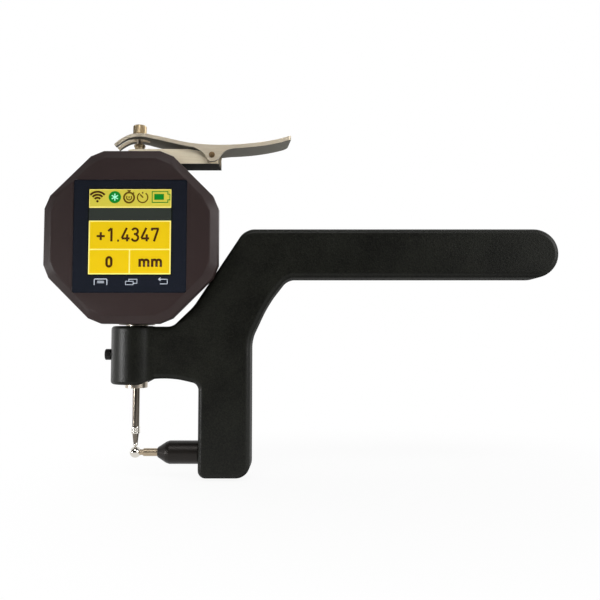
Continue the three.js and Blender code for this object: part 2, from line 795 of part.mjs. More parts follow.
function makeStem() {
  const low = stemBottom - middleHeight;
  const collarLow = bossTop + collarGap - middleHeight;
  const high = stemThread - caseInner;
  const stem = turned('z', [
    [stemBoreRadius, low],
    [stemRadius, low],
    [stemRadius, collarLow],
    [collarRadius, collarLow],
    [collarRadius, -caseTop],
    [stemRadius, -caseTop],
    [stemRadius, high],
    [stemBoreRadius, high],
    [stemBoreRadius, low],
  ], largeSides);
  const nutPlan = [];
  for (let i = 0; i < 6; i += 1) {
    nutPlan.push(new THREE.Vector2(stemNutRadius, 0)
      .rotateAround(new THREE.Vector2(), (i * Math.PI) / 3));
  }
  const nut = column(nutPlan, -caseInner, stemNutHeight - caseInner)
    .subtract(rod('z', stemRadius + seatFit, -caseInner - overrun,
      stemNutHeight - caseInner + overrun, largeSides));
  const bushLow = low + lowerBushInset;
  const bush = tube('z', spindleRadius + slideFit, stemBoreRadius - seatFit, bushLow,
    bushLow + lowerBushLength, largeSides);
  const flangeLow = caseInner - neckFlangeHeight;
  const neck = turned('z', [
    [spindleTailRadius + slideFit, flangeLow],
    [neckFlangeRadius, flangeLow],
    [neckFlangeRadius, caseInner],
    [neckRadius, caseInner],
    [neckRadius, neckTop - neckChamfer],
    [neckRadius - neckChamfer, neckTop],
    [spindleTailRadius + slideFit, neckTop],
    [spindleTailRadius + slideFit, flangeLow],
  ], smallSides);
  const neckNutLow = caseTop + bracketWall;
  const neckNut = tube('z', neckRadius + seatFit, neckNutRadius, neckNutLow,
    neckNutLow + neckNutHeight, smallSides);
  return [
    piece('stem', stem, finishes.steel),
    piece('stem_nut', nut, finishes.steel),
    piece('lower_bush', bush, finishes.brass),
    piece('upper_bush', neck, finishes.nickel),
    piece('bracket_nut', neckNut, finishes.nickel),
  ];
}

// A coil spring as one tube of rings along a helix, closed at both ends.
function coil(low, high) {
  const positions = [];
  const index = [];
  const steps = springTurns * springTurnSteps;
  const travel = high - low - 2 * springWireRadius;
  const centres = [];
  const slope = Math.atan2(travel, springTurns * fullTurn * springRadius);
  for (let i = 0; i <= steps; i += 1) {
    const angle = (i / springTurnSteps) * fullTurn;
    const out = new THREE.Vector3(Math.cos(angle), Math.sin(angle), 0);
    const ahead = new THREE.Vector3(-Math.sin(angle), Math.cos(angle), 0);
    const rise = low + springWireRadius + (travel * i) / steps;
    const centre = out.clone().multiplyScalar(springRadius).setZ(rise);
    const up = new THREE.Vector3(0, 0, Math.cos(slope)).addScaledVector(ahead, -Math.sin(slope));
    centres.push(centre);
    for (let k = 0; k < springSides; k += 1) {
      const turn = (k / springSides) * fullTurn;
      const point = centre.clone()
        .addScaledVector(out, springWireRadius * Math.cos(turn))
        .addScaledVector(up, springWireRadius * Math.sin(turn));
      positions.push(point.x, point.y, point.z);
    }
  }
  for (let i = 0; i < steps; i += 1) {
    for (let k = 0; k < springSides; k += 1) {
      const [a, b] = [i * springSides + k, i * springSides + ((k + 1) % springSides)];
      const [c, d] = [a + springSides, b + springSides];
      index.push(a, c, b, b, c, d);
    }
  }
  const last = steps * springSides;
  for (let k = 1; k + 1 < springSides; k += 1) {
    index.push(0, k, k + 1, last, last + k + 1, last + k);
  }
  let gap = Infinity;
  centres.forEach((centre, i) => {
    for (let j = i + springTurnSteps / 2; j < centres.length; j += 1) {
      gap = Math.min(gap, centre.distanceTo(centres[j]) - 2 * springWireRadius);
    }
  });
  console.log(`return spring: least gap between turns ${gap.toFixed(2)} mm`);
  const geometry = new THREE.BufferGeometry();
  geometry.setAttribute('position', new THREE.Float32BufferAttribute(positions, 3));
  geometry.setIndex(index);
  return solid(geometry);
}

function makeSpindle() {
  const tail = stemBottom + lowerBushInset - spindleInset - middleHeight;
  const step = caseInner - neckFlangeHeight - liftStroke - stepMargin;
  const top = capBottom + capHeight - capRoof;
  const spindle = turned('z', [
    [0, tail + studLength + touchGap],
    [studRadius + seatFit, tail + studLength + touchGap],
    [studRadius + seatFit, tail],
    [spindleRadius, tail],
    [spindleRadius, step],
    [spindleTailRadius, step + spindleRadius - spindleTailRadius],
    [spindleTailRadius, top],
    [0, top],
  ], largeSides);
  const collarTop = contactCollarTop - middleHeight;
  const extension = turned('z', [
    [0, collarTop + studLength + touchGap],
    [studRadius + seatFit, collarTop + studLength + touchGap],
    [studRadius + seatFit, collarTop],
    [extensionRadius, collarTop],
    [extensionRadius, tail],
    [studRadius, tail],
    [studRadius, tail + studLength],
    [0, tail + studLength],
  ], smallSides);
  const ballPlace = [0, 0, contactBallRadius - middleHeight];
  const collarLow = collarTop - contactCollarLength;
  const contact = turned('z', [
    [0, ballPlace[2]],
    [contactTipRadius, ballPlace[2]],
    [contactConeRadius, collarLow - contactShoulder],
    [contactCollarRadius, collarLow],
    [contactCollarRadius, collarTop],
    [studRadius, collarTop],
    [studRadius, collarTop + studLength],
    [0, collarTop + studLength],
  ], smallSides).subtract(ball(contactBallRadius + seatFit, ballPlace));

  const carrierLow = -carrierHeight / 2 - carrierShift;
  const carrierHigh = carrierLow + carrierHeight;
  const carrier = block([-carrierLeft, -carrierDepth / 2, carrierLow],
    [carrierRight, carrierDepth / 2, carrierHigh])
    .subtract(rod('z', spindleRadius + seatFit, carrierLow - overrun, carrierHigh + overrun,
      largeSides))
    .subtract(rod('x', guidePinRadius + seatFit, -carrierLeft - overrun, -spindleRadius,
      smallSides, [0, 0, -carrierShift]));
  const scale = block([carrierRight, -scaleDepth / 2, -scaleLength / 2 - carrierShift],
    [carrierRight + scaleThickness, scaleDepth / 2, scaleLength / 2 - carrierShift]);
  const guidePin = rod('x', guidePinRadius, -carrierLeft - guidePinReach,
    -spindleRadius - slideFit, smallSides, [0, 0, -carrierShift]);
  const spring = coil(carrierHigh + touchGap, caseInner - neckFlangeHeight - touchGap);

  const capPlan = [];
  for (let i = 0; i < 2 * capFlutes; i += 1) {
    const radius = i % 2 === 0 ? capRadius : capRadius - capFluteDepth;
    capPlan.push(new THREE.Vector2(radius, 0)
      .rotateAround(new THREE.Vector2(), (i * Math.PI) / capFlutes));
  }
  const cap = column(capPlan, capBottom, capBottom + capHeight, capEdge)
    .subtract(rod('z', spindleTailRadius + seatFit, capBottom - overrun, top + touchGap,
      smallSides));
  return [
    piece('spindle', spindle, finishes.steel),
    piece('extension_rod', extension, finishes.steel),
    piece('contact_point', contact, finishes.steel),
    piece('contact_ball', ball(contactBallRadius, ballPlace), finishes.carbide),
    piece('scale_carrier', carrier, finishes.nickel),
    piece('glass_scale', scale, finishes.scaleGlass),
    piece('guide_pin', guidePin, finishes.steel),
    piece('return_spring', spring, finishes.steel),
    piece('lifting_cap', cap, finishes.nickel),
  ];
}

function makeBracket() {
  const low = caseTop;
  const high = caseTop + bracketHeight;
  const necked = caseTop + bracketNeckHeight;
  const end = pivotReach + bracketEndReach;
  const stepX = pivotReach - bracketStepReach;
  const side = rounded([
    [-bracketWidth / 2, low],
    [end, low],
    [end, necked, bracketEndRadius],
    [stepX, necked],
    [stepX - bracketRampLength, high],
    [-bracketWidth / 2, high],
  ]);
  const plan = rounded([
    [-bracketWidth / 2, -bracketWidth / 2, bracketWidth / 2],
    [end + overrun, -bracketWidth / 2],
    [end + overrun, bracketWidth / 2],
    [-bracketWidth / 2, bracketWidth / 2, bracketWidth / 2],
  ]);
  const inner = bracketWidth / 2 - bracketWall;
  const bracket = plate(side, -bracketWidth / 2, bracketWidth / 2)
    .intersect(column(plan, low - overrun, high + overrun))
    .subtract(block([-bracketWidth, -inner, low + bracketWall],
      [end + overrun, inner, high + overrun]))
    .subtract(rod('z', neckRadius + seatFit, low - overrun, high, smallSides))
    .subtract(rod('y', pinRadius + seatFit, -bracketWidth, bracketWidth, smallSides,
      [pivotReach, 0, pivotHeight]));
  const half = leverWidth / 2 + touchGap;
  const pin = turned('y', [
    [0, -half - pinHeadHeight],
    [pinHeadRadius, -half - pinHeadHeight],
    [pinHeadRadius, -half],
    [pinRadius, -half],
    [pinRadius, half],
    [pinHeadRadius, half],
    [pinHeadRadius, half + pinHeadHeight],
    [0, half + pinHeadHeight],
  ], smallSides, [pivotReach, 0, pivotHeight]);
  return [
    piece('lever_bracket', bracket, finishes.nickel),
    piece('lever_pin', pin, finishes.brass),
  ];
}

// The lever lies about its own pivot.
function makeLever() {
  const under = leverPath.map((point, i) => {
    const before = leverPath[Math.max(i - 1, 0)];
    const after = leverPath[Math.min(i + 1, leverPath.length - 1)];
    const along = after.clone().sub(before).normalize();
    return new THREE.Vector2(point.x + along.y * leverThickness, point.y - along.x * leverThickness);
  });
  const side = [...leverPath, ...under.reverse()];
  const half = leverWidth / 2;
  const slotEnd = forkSlotReach - pivotReach;
  const tip = -pivotReach - forkOverhang;
  const thumbEnd = thumbReach + leverThickness / 2;
  const plan = rounded([
    [tip, -half, leverCornerRadius],
    [thumbTaperReach, -half, sagRadius],
    [thumbEnd, -thumbFront, leverCornerRadius],
    [thumbEnd, thumbBack, thumbCornerRadius],
    [waistReach, thumbBack, waistRadius],
    [earRadius, half, waistRadius],
    [tip, half, leverCornerRadius],
    [tip, forkSlotWidth / 2, leverThickness / 2],
    [slotEnd, forkSlotWidth / 2, forkSlotWidth / 2],
    [slotEnd, -forkSlotWidth / 2, forkSlotWidth / 2],
    [tip, -forkSlotWidth / 2, leverThickness / 2],
  ]);
  const low = -leverArchRise;
  const high = 2 * leverArchRise;
  let lever = plate(side, -half, half).intersect(column(plan, low, high));

  const midOf = (x) => heightAt(leverPath, x) - leverThickness / 2;
  const earLeft = [
    [0, midOf(0)],
    [-earLeftReach, midOf(-earLeftReach)],
    [-earRadius, -earRadius, earRadius],
    [earRadius, -earRadius, earRadius],
  ];
  const frontEar = rounded([
    ...earLeft,
    [earNotchReach, earNotchRise, earNotchRadius],
    [earRightReach, midOf(earRightReach)],
  ]);
  const backEar = rounded([...earLeft, [earRadius, midOf(earRadius)]]);
  lever = lever
    .add(plate(frontEar, -half, earThickness - half))
    .add(plate(backEar, half - earThickness, half));
  lever = lever.subtract(rod('y', pinRadius + slideFit, -leverWidth, leverWidth, smallSides));
  return piece('lift_lever', lever, finishes.nickel);
}

const indicator = new THREE.Group();
indicator.position.set(0, 0, middleHeight);
indicator.add(
  ...makeFront(),
  ...makeCase(),
  ...makeElectronics(),
  ...makeStem(),
  ...makeSpindle(),
  ...makeBracket(),
);

const lever = new THREE.Group();
lever.position.set(pivotReach, 0, pivotHeight);
lever.add(makeLever());
indicator.add(lever);

// The origin is the middle of the grip, where a hand holds the gauge.
const gauge = new THREE.Group();
const gripMiddle = (legBack + elbowReach + handleEnd) / 2;
gauge.position.set(-gripMiddle, 0, handleHeight / 2 - handleTop);
gauge.add(piece('frame', makeFrame(), finishes.blackPaint), ...makeClamp(), ...makeAnvil());
gauge.add(indicator);

const model = new THREE.Group();
model.add(gauge);

export default model;
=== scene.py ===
# %% [markdown]
# # Dressing a digital thickness gauge
#
# This hand gauge measures the wall of a tube. The tube is hung on a ball at the end of a thin
# anvil, and a spindle with a ball tip comes down on it from above. An octagonal indicator with a
# touch screen shows the reading, a lever on top lifts the spindle, and a black casting with a
# long handle holds it all.
#
# The mechanical model comes in as a fixed frame, with its bodies and joints. This lesson puts
# the finish on it: finer shapes where the eye rests, and a material for every part.

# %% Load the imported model
import json
from math import atan2, cos, hypot, pi, radians, sin

import bmesh
import bpy
from mathutils import Matrix, Vector


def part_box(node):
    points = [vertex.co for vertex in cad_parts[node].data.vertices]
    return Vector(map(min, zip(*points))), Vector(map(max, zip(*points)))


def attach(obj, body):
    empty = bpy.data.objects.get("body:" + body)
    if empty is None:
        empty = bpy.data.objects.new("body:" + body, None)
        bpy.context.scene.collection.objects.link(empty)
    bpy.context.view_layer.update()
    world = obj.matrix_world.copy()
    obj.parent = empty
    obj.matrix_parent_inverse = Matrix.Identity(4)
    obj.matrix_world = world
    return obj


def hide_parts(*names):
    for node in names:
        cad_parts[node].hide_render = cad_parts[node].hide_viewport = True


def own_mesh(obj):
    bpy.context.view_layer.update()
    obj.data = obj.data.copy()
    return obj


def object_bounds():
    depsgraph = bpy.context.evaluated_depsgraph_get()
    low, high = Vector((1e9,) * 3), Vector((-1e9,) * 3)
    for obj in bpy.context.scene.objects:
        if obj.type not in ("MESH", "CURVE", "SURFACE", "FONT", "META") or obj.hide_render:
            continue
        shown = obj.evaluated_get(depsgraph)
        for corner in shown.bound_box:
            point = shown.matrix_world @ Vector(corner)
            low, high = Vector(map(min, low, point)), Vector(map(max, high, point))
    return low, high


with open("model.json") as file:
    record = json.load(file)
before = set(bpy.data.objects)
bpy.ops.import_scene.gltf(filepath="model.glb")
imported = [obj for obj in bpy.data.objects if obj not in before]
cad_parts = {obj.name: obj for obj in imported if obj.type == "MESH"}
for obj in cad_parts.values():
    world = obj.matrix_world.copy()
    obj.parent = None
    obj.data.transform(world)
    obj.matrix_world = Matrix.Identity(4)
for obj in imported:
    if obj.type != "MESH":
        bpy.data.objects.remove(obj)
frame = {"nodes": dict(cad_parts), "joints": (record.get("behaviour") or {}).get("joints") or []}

cad_low, cad_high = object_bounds()

# %% [markdown]
# ## Work in millimetres from the measuring point
#
# The frame is in metres, with its origin in the grip. A workshop drawing would count from the
# measuring axis, in millimetres, so the shapes below are drawn that way: X along the handle, Y
# from the display to the back, Z up, and zero where the contact ball touches. One matrix takes
# a drawn shape to its place. The axis is read off the contact ball, so it follows the CAD.

# %% Measuring axis
MM = 0.001
ball_low, ball_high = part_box("contact_ball")
AXIS = Vector(((ball_low.x + ball_high.x) / 2, 0, ball_low.z))
TO_PLACE = Matrix.Translation(AXIS) @ Matrix.Scale(MM, 4)


def extent(node):
    """Lowest and highest corner of a CAD part, in millimetres from the measuring point."""
    low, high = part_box(node)
    return (low - AXIS) / MM, (high - AXIS) / MM


bezel_low, bezel_high = extent("front_housing")
print("octagon from", bezel_low.to_tuple(1), "to", bezel_high.to_tuple(1))

# %% [markdown]
# ## Camera
#
# The photograph looks straight at the display from about a quarter of a metre, a little from
# below: the underside of the lever bracket shows. A perspective camera close to the object
# gives the same mild convergence, which a camera without perspective would lose.

# %% Camera
CAMERA_PLACE = (-0.043972, -0.250, -0.031662)
CAMERA_TILT = 93.5
FOCAL_LENGTH = 41.209
SENSOR_WIDTH = 36
NEAREST = 0.01


def put(name, data):
    """A new object in the scene."""
    made = bpy.data.objects.new(name, data)
    bpy.context.scene.collection.objects.link(made)
    return made


camera_data = bpy.data.cameras.new("camera")
camera_data.lens = FOCAL_LENGTH
camera_data.sensor_width = SENSOR_WIDTH
camera_data.clip_start = NEAREST
camera = put("camera", camera_data)
camera.location = CAMERA_PLACE
camera.rotation_euler = (radians(CAMERA_TILT), 0, 0)
bpy.context.scene.camera = camera
print(f"camera {-CAMERA_PLACE[1] / MM:.0f} mm in front of the spindle")

# %% [markdown]
# ## Shader maths as Python
#
# A material is a graph of nodes. Wiring each Math node by hand hides the idea, so a small class
# wraps a socket and gives it the usual operators: `0.3 + 0.2 * noise` then adds the nodes by
# itself. Every other node goes through one method that takes its type, settings and inputs.

# %% Sockets with operators
class Value:
    """An output of a node that can stand in a sum."""

    def __init__(self, graph, socket):
        self.graph = graph
        self.socket = socket

    def math(self, operation, *numbers):
        inputs = dict(enumerate((self, *numbers)))
        return self.graph.add("ShaderNodeMath", {"operation": operation}, inputs)

    def __add__(self, other):
        return self.math("ADD", other)

    def __sub__(self, other):
        return self.math("SUBTRACT", other)

    def __rsub__(self, other):
        return self.graph.add("ShaderNodeMath", {"operation": "SUBTRACT"}, {0: other, 1: self})

    def __mul__(self, other):
        return self.math("MULTIPLY", other)

    __radd__ = __add__
    __rmul__ = __mul__


class Graph:
    """The node tree of one material, or of the world."""

    def __init__(self, tree):
        self.tree = tree

    def add(self, kind, settings=None, inputs=None, output=0):
        """A new node of that kind, with its settings and inputs given by name or number."""
        node = self.tree.nodes.new(kind)
        for name, setting in (settings or {}).items():
            setattr(node, name, setting)
        for name, value in (inputs or {}).items():
            self.feed(node.inputs[name], value)
        return Value(self, node.outputs[output])

    def feed(self, socket, value):
        if isinstance(value, Value):
            self.tree.links.new(value.socket, socket)
        else:
            socket.default_value = value

    def blend(self, amount, first, second):
        """The first colour where amount is 0, the second where it is 1."""
        return self.add("ShaderNodeMix", {"data_type": "RGBA"},
                        {0: amount, 6: first, 7: second}, output=2)

    def place(self):
        """Where a point of the surface lies on its object."""
        return self.add("ShaderNodeTexCoord", output="Object")

    def facing(self, direction):
        """1 on faces that look that way, 0 on those at right angles to it."""
        normal = self.add("ShaderNodeNewGeometry", output="Normal")
        return self.add("ShaderNodeVectorMath", {"operation": "DOT_PRODUCT"},
                        {0: normal, 1: direction}, output="Value")

    def noise(self, size, detail=2, stretch=(1, 1, 1)):
        """Soft random values in grains of about size millimetres, drawn out along the axes."""
        place = self.add("ShaderNodeMapping", None, {"Vector": self.place(), "Scale": stretch})
        return self.add("ShaderNodeTexNoise", None,
                        {"Vector": place, "Scale": 1 / (size * MM), "Detail": detail})

    def sharpen(self, value, low, high):
        """Spreads the values between low and high over 0 to 1."""
        return self.add("ShaderNodeMapRange", None, {0: value, 1: low, 2: high})

    def bump(self, height, depth):
        """Makes the surface look up to depth millimetres higher where height is 1."""
        return self.add("ShaderNodeBump", None, {"Distance": depth * MM, "Height": height})


def ink(red, green, blue):
    """A colour as seen, 0 to 255, in the linear values that the shader works with, by the
    standard curve of a screen."""
    levels = [level / 255 for level in (red, green, blue)]
    return (*(v / 12.92 if v < 0.04 else ((v + 0.055) / 1.055) ** 2.4 for v in levels), 1)


print("a mid grey is", round(ink(128, 128, 128)[0], 3), "in linear values")

# %% [markdown]
# ## Metals, blacks and plastics
#
# Turned, ground, plated and moulded surfaces differ in four things: their colour, how much it
# varies, how rough they are, and the size and direction of their grain. One function takes
# these and is used for all of them. The grain drives the colour, the roughness and a bump
# together, as on a real surface, where a scratch is a groove and dull at once. On plated sheet,
# faces that look down, and those that look to the right, may be given painted shade: a darker
# colour, with a higher roughness.

# %% A grained finish
CLOUD = 30
# Painted shade of undersides and ends fades in over these values of facing.
PAINTED_SHADE_RAMP = (0.55, 0.8)
DULL = 0.95


def new_material(name):
    """A material with its graph and its main shader."""
    material = bpy.data.materials.new(name)
    material.use_nodes = True
    tree = material.node_tree
    return material, Graph(tree), tree.nodes["Principled BSDF"]


def grained(name, light, dark, rough, spread, metal=1, size=0.3, stretch=(1, 1, 1),
            depth=0.004, coat=0, gloss=0.5, under=None, ends=0):
    """A finish whose colour, roughness and height follow one grain. Faces that look down may
    be given painted shade, the darker colour under, with a higher roughness, and by ends so may
    those that look to the right."""
    material, graph, shader = new_material(name)
    fine = graph.noise(size, 3, stretch)
    cloud = graph.noise(size * CLOUD)
    mixed = graph.sharpen(0.6 * fine + 0.4 * cloud, 0.3, 0.7)
    tint = graph.blend(mixed, dark, light)
    dull = rough + spread * (1 - mixed)
    # Painted shade: faces that look down take the colour under and a higher roughness.
    if under:
        below = graph.sharpen(graph.facing((0, 0, -1)), *PAINTED_SHADE_RAMP)
        if ends:
            # Painted shade on faces that look to the right, by ends.
            painted_shade_right = graph.sharpen(graph.facing((1, 0, 0)), *PAINTED_SHADE_RAMP)
            below = below.math("MAXIMUM", ends * painted_shade_right)
        tint = graph.blend(below, tint, under)
        dull = dull + below * (DULL - dull)
    graph.feed(shader.inputs["Base Color"], tint)
    graph.feed(shader.inputs["Roughness"], dull)
    graph.feed(shader.inputs["Normal"], graph.bump(fine, depth))
    shader.inputs["Metallic"].default_value = metal
    shader.inputs["Coat Weight"].default_value = coat
    shader.inputs["Specular IOR Level"].default_value = gloss
    return material


ALONG_X = (0.06, 1, 1)
ROUND_Z = (0.15, 0.15, 1)
# The nickel plate carries painted shade: a darker colour on faces that look down and, by ends, on
# those that look to the right.
nickel = grained("nickel plate", ink(232, 220, 198), ink(212, 199, 176), 0.42, 0.14, metal=0.74,
                 size=0.22, stretch=ALONG_X, depth=0.002, under=ink(136, 134, 125), ends=0.6)
# The bracket's nickel is a lighter copy of the nickel plate, which is painted light, and its
# undersides and right ends are near black, which is painted shade.
bracket_nickel_painted_light_and_shade = grained("bracket nickel", ink(252, 240, 214), ink(238, 224, 196), 0.46, 0.14,
                        metal=0.5, size=0.22, stretch=ALONG_X, depth=0.002,
                        under=ink(24, 23, 20), ends=0.9)
cap_metal = grained("knurled nickel", ink(192, 174, 142), ink(152, 134, 104), 0.34, 0.16,
                    metal=0.85, depth=0.003)
steel = grained("ground steel", ink(192, 182, 168), ink(166, 155, 141), 0.26, 0.08,
                size=0.25, stretch=ROUND_Z, depth=0.0002)
# The rod and nose take a darker copy of the ground steel: painted shade that keeps them dark
# under the lamp on the left.
rod_steel_painted_shade = grained("spindle steel", ink(124, 116, 106), ink(100, 93, 84), 0.18, 0.08,
                    size=0.25, stretch=ROUND_Z, depth=0.0002)
pin_steel = grained("drawn steel", ink(190, 174, 150), ink(160, 144, 121), 0.28, 0.1,
                    metal=0.9, size=0.25, stretch=ALONG_X, depth=0.0004)
carbide = grained("polished carbide", ink(226, 222, 214), ink(204, 199, 190), 0.06, 0.06,
                  size=0.15, depth=0.0006)
brass = grained("brass", ink(198, 164, 96), ink(160, 124, 66), 0.26, 0.16, depth=0.002)
pin_brass = grained("tarnished brass", ink(158, 132, 98), ink(118, 94, 66), 0.34, 0.16,
                    depth=0.002)
black_steel = grained("black oxide", ink(34, 33, 32), ink(16, 16, 16), 0.36, 0.2, metal=0.6,
                      size=0.2, depth=0.003)
anodised = grained("black anodised", ink(32, 26, 21), ink(20, 17, 14), 0.34, 0.12, metal=0.5,
                   size=0.2, stretch=(0.2, 1, 1), depth=0.003)
bezel_paint = grained("bezel paint", ink(49, 37, 36), ink(44, 32, 31), 0.4, 0.1, metal=0,
                      size=0.16, gloss=0.28)
case_black = grained("case black", ink(33, 31, 31), ink(24, 23, 23), 0.42, 0.14, metal=0,
                     size=0.16, gloss=0.4)
rubber = grained("rubber", ink(24, 24, 24), ink(14, 14, 14), 0.75, 0.15, metal=0,
                 size=0.4, depth=0.01)
acetal = grained("acetal", ink(232, 229, 220), ink(216, 212, 202), 0.38, 0.12, metal=0,
                 size=0.5, depth=0.003)
cell_foil = grained("cell foil", ink(152, 157, 163), ink(112, 117, 123), 0.3, 0.2, metal=0.7,
                    size=0.9, depth=0.02)
scale_glass = grained("scale glass", ink(176, 202, 206), ink(120, 150, 158), 0.06, 0.06,
                      metal=0, size=0.1, stretch=(0, 0, 1), depth=0.001, coat=1)
print(f"{len(bpy.data.materials)} materials so far")

# %% [markdown]
# ## The casting's paint
#
# The casting is sprayed with a thick black paint that dries in a fine orange peel. Under the
# lamps the peel breaks the shine into small specks. A cell pattern makes the pebbles and a
# finer noise roughens them. Both are too small to model, so they are a bump, with the
# roughness following the pebbles: their tops are a little smoother than the valleys. Rims that
# look down or away from the left stay dull, as little of the spray lands there.

# %% Black paint with an orange peel
PEBBLE = 0.62
PEEL = 0.035
SHADED_WAY = (0.5, 0, -0.87)
frame_paint, paint, paint_shader = new_material("peeled black paint")
pebbles = paint.add("ShaderNodeTexVoronoi", {"feature": "SMOOTH_F1"},
                    {"Vector": paint.place(), "Scale": 1 / (PEBBLE * MM), "Smoothness": 0.6},
                    output="Distance")
speckle = paint.noise(0.3)
cloud = paint.noise(14, 3)
peel = 0.5 * speckle - pebbles
tone = paint.sharpen(speckle + 0.5 * cloud, 0.55, 0.95)
paint.feed(paint_shader.inputs["Base Color"],
           paint.blend(tone, ink(4, 4, 3), ink(29, 30, 24)))
shine = 0.3 + 0.14 * pebbles + 0.08 * cloud
away = paint.sharpen(paint.facing(SHADED_WAY), 0.3, 0.75)
paint.feed(paint_shader.inputs["Roughness"], shine + away * (DULL - shine))
paint.feed(paint_shader.inputs["Normal"], paint.bump(peel, PEEL))
paint_shader.inputs["Specular IOR Level"].default_value = 0.2
print(f"paint pebbles of {PEBBLE} mm")

# %% [markdown]
# ## The lit display
#
# The yellow fields give light of their own. A lit colour is split here: a part of it is
# emitted, by the glow, and the base colour is lit by the lamps as well, so it reads the same in
# a bright room and a dim one. A faint grid of picture elements and a slow drift of brightness
# keep it from being one flat colour, as on a real panel seen close up.

# %% Lit colours
PIXEL = 0.11
WAVELENGTH = 0.31
DRIFT = 0.1
GRID = 0.05
DIMMED = 0.75


def lit(name, colour, glow=0.3):
    """A colour shown by the display, under a smooth glass. A wave node repeats at WAVELENGTH
    when its scale is 1, so the scale brings that down to a pixel."""
    material, graph, shader = new_material(name)
    level = 1 - DRIFT * graph.noise(16)
    for way in "ZX":
        lines = graph.add("ShaderNodeTexWave", {"bands_direction": way},
                          {"Vector": graph.place(), "Scale": WAVELENGTH / (PIXEL * MM)},
                          output="Fac")
        level = level - GRID * lines
    dimmed = tuple(channel * DIMMED for channel in colour[:3]) + (1,)
    shade = graph.blend(level, dimmed, colour)
    graph.feed(shader.inputs["Base Color"], shade)
    graph.feed(shader.inputs["Emission Color"], shade)
    shader.inputs["Emission Strength"].default_value = glow
    shader.inputs["Roughness"].default_value = 0.12
    shader.inputs["Specular IOR Level"].default_value = 0.3
    return material


screen_yellow = lit("screen yellow", ink(218, 184, 20))
screen_header = lit("screen header", ink(201, 189, 69))
screen_pale = lit("screen pale line", ink(246, 230, 128))
screen_dark = lit("screen dark field", ink(46, 50, 46), glow=0.4)
screen_black = lit("screen border", ink(16, 20, 15))
screen_brown = lit("screen digits", ink(66, 38, 16))
screen_olive = lit("screen icons", ink(92, 66, 18))
screen_green = lit("screen green", ink(16, 122, 40), glow=0.4)
screen_mint = lit("screen mint", ink(150, 222, 190), glow=0.5)
touch_grey = lit("touch symbols", ink(178, 184, 194), glow=0.4)

window_glass = grained("tinted window", ink(32, 35, 45), ink(27, 31, 39), 0.05, 0.06, metal=0,
                       size=2.5, depth=0.0004, coat=0.5)
print(f"{len(bpy.data.materials)} materials so far")

# %% [markdown]
# ## The circuit board
#
# The board is shut up inside the case, but it is part of the model and gets its own finish:
# green solder mask, with copper tracks that show as slightly raised and lighter lines. A brick
# pattern gives long tracks at right angles without any drawing.

# %% Solder mask with tracks
TRACK_GRID = 4
COPPER = 0.035
solder_mask, mask, mask_shader = new_material("solder mask")
flat_place = mask.add("ShaderNodeMapping", None,
                      {"Vector": mask.place(), "Rotation": (pi / 2, 0, 0)})
tracks = mask.add("ShaderNodeTexBrick", {"offset": 0.37},
                  {"Vector": flat_place, "Scale": 1 / (TRACK_GRID * MM), "Mortar Size": 0.03,
                   "Brick Width": 1.3, "Row Height": 0.35}, output="Fac")
mask.feed(mask_shader.inputs["Base Color"],
          mask.blend(tracks, ink(20, 78, 44), ink(52, 128, 74)))
mask.feed(mask_shader.inputs["Roughness"], 0.45 - 0.15 * tracks)
mask.feed(mask_shader.inputs["Normal"], mask.bump(tracks, COPPER))
print(f"board tracks on a {TRACK_GRID} mm grid")

# %% [markdown]
# ## Tools of the bench
#
# A handful of helpers do what the machines in a workshop do. `turned` is the lathe: it draws a
# half profile and spins it. `sawn` is the saw: it cuts an outline from a plate, with rounded
# corners. `combine` adds or drills one solid from another. `break_edges` takes the sharpness
# off, which is what catches the light on a real part. `mount` puts the finished mesh in place.

# %% Lathe and saw
WELD = 0.0005
SHORTEST = 0.002
ALONG_AXIS_X = Matrix.Rotation(pi / 2, 3, "Y")
ALONG_AXIS_Y = Matrix.Rotation(-pi / 2, 3, "X")


def points_of(made):
    """The points among what a bmesh operator made."""
    return [item for item in made if isinstance(item, bmesh.types.BMVert)]


def turned(profile, steps=96, turn=None, at=(0, 0, 0)):
    """Spins (radius, height) points about Z and merges the seam and the poles. Then it is
    turned to its own axis and moved to its place."""
    bm = bmesh.new()
    points = [bm.verts.new((radius, 0, height)) for radius, height in profile]
    lines = [bm.edges.new(pair) for pair in zip(points, points[1:])]
    bmesh.ops.spin(bm, geom=points + lines, cent=(0, 0, 0), axis=(0, 0, 1), angle=2 * pi,
                   steps=steps, use_merge=True)
    bmesh.ops.remove_doubles(bm, verts=bm.verts, dist=WELD)
    bmesh.ops.recalc_face_normals(bm, faces=bm.faces)
    if turn:
        bmesh.ops.rotate(bm, cent=(0, 0, 0), matrix=turn, verts=bm.verts)
    bmesh.ops.translate(bm, vec=at, verts=bm.verts)
    return bm


def rod(radius, low, high, steps=64, turn=None, at=(0, 0, 0)):
    """A plain cylinder."""
    return turned([(0, low), (radius, low), (radius, high), (0, high)], steps, turn, at)


def sawn(corners, front, back, steps=10):
    """A plate in X and Z from front to back along Y. A corner is (x, z, run), where run is how
    far its rounding reaches along each edge."""
    bm = bmesh.new()
    dots = [bm.verts.new((x, front, z)) for x, z, run in corners]
    bm.faces.new(dots)
    for dot, (x, z, run) in zip(dots, corners):
        if run:
            bmesh.ops.bevel(bm, geom=[dot], affect="VERTICES", offset=run,
                            offset_type="OFFSET", segments=steps, profile=0.5, material=-1)
    bmesh.ops.remove_doubles(bm, verts=bm.verts, dist=SHORTEST)
    made = bmesh.ops.extrude_face_region(bm, geom=bm.faces[:])["geom"]
    bmesh.ops.translate(bm, vec=(0, back - front, 0), verts=points_of(made))
    bmesh.ops.recalc_face_normals(bm, faces=bm.faces)
    return bm


print(f"points closer than {WELD} mm are welded")

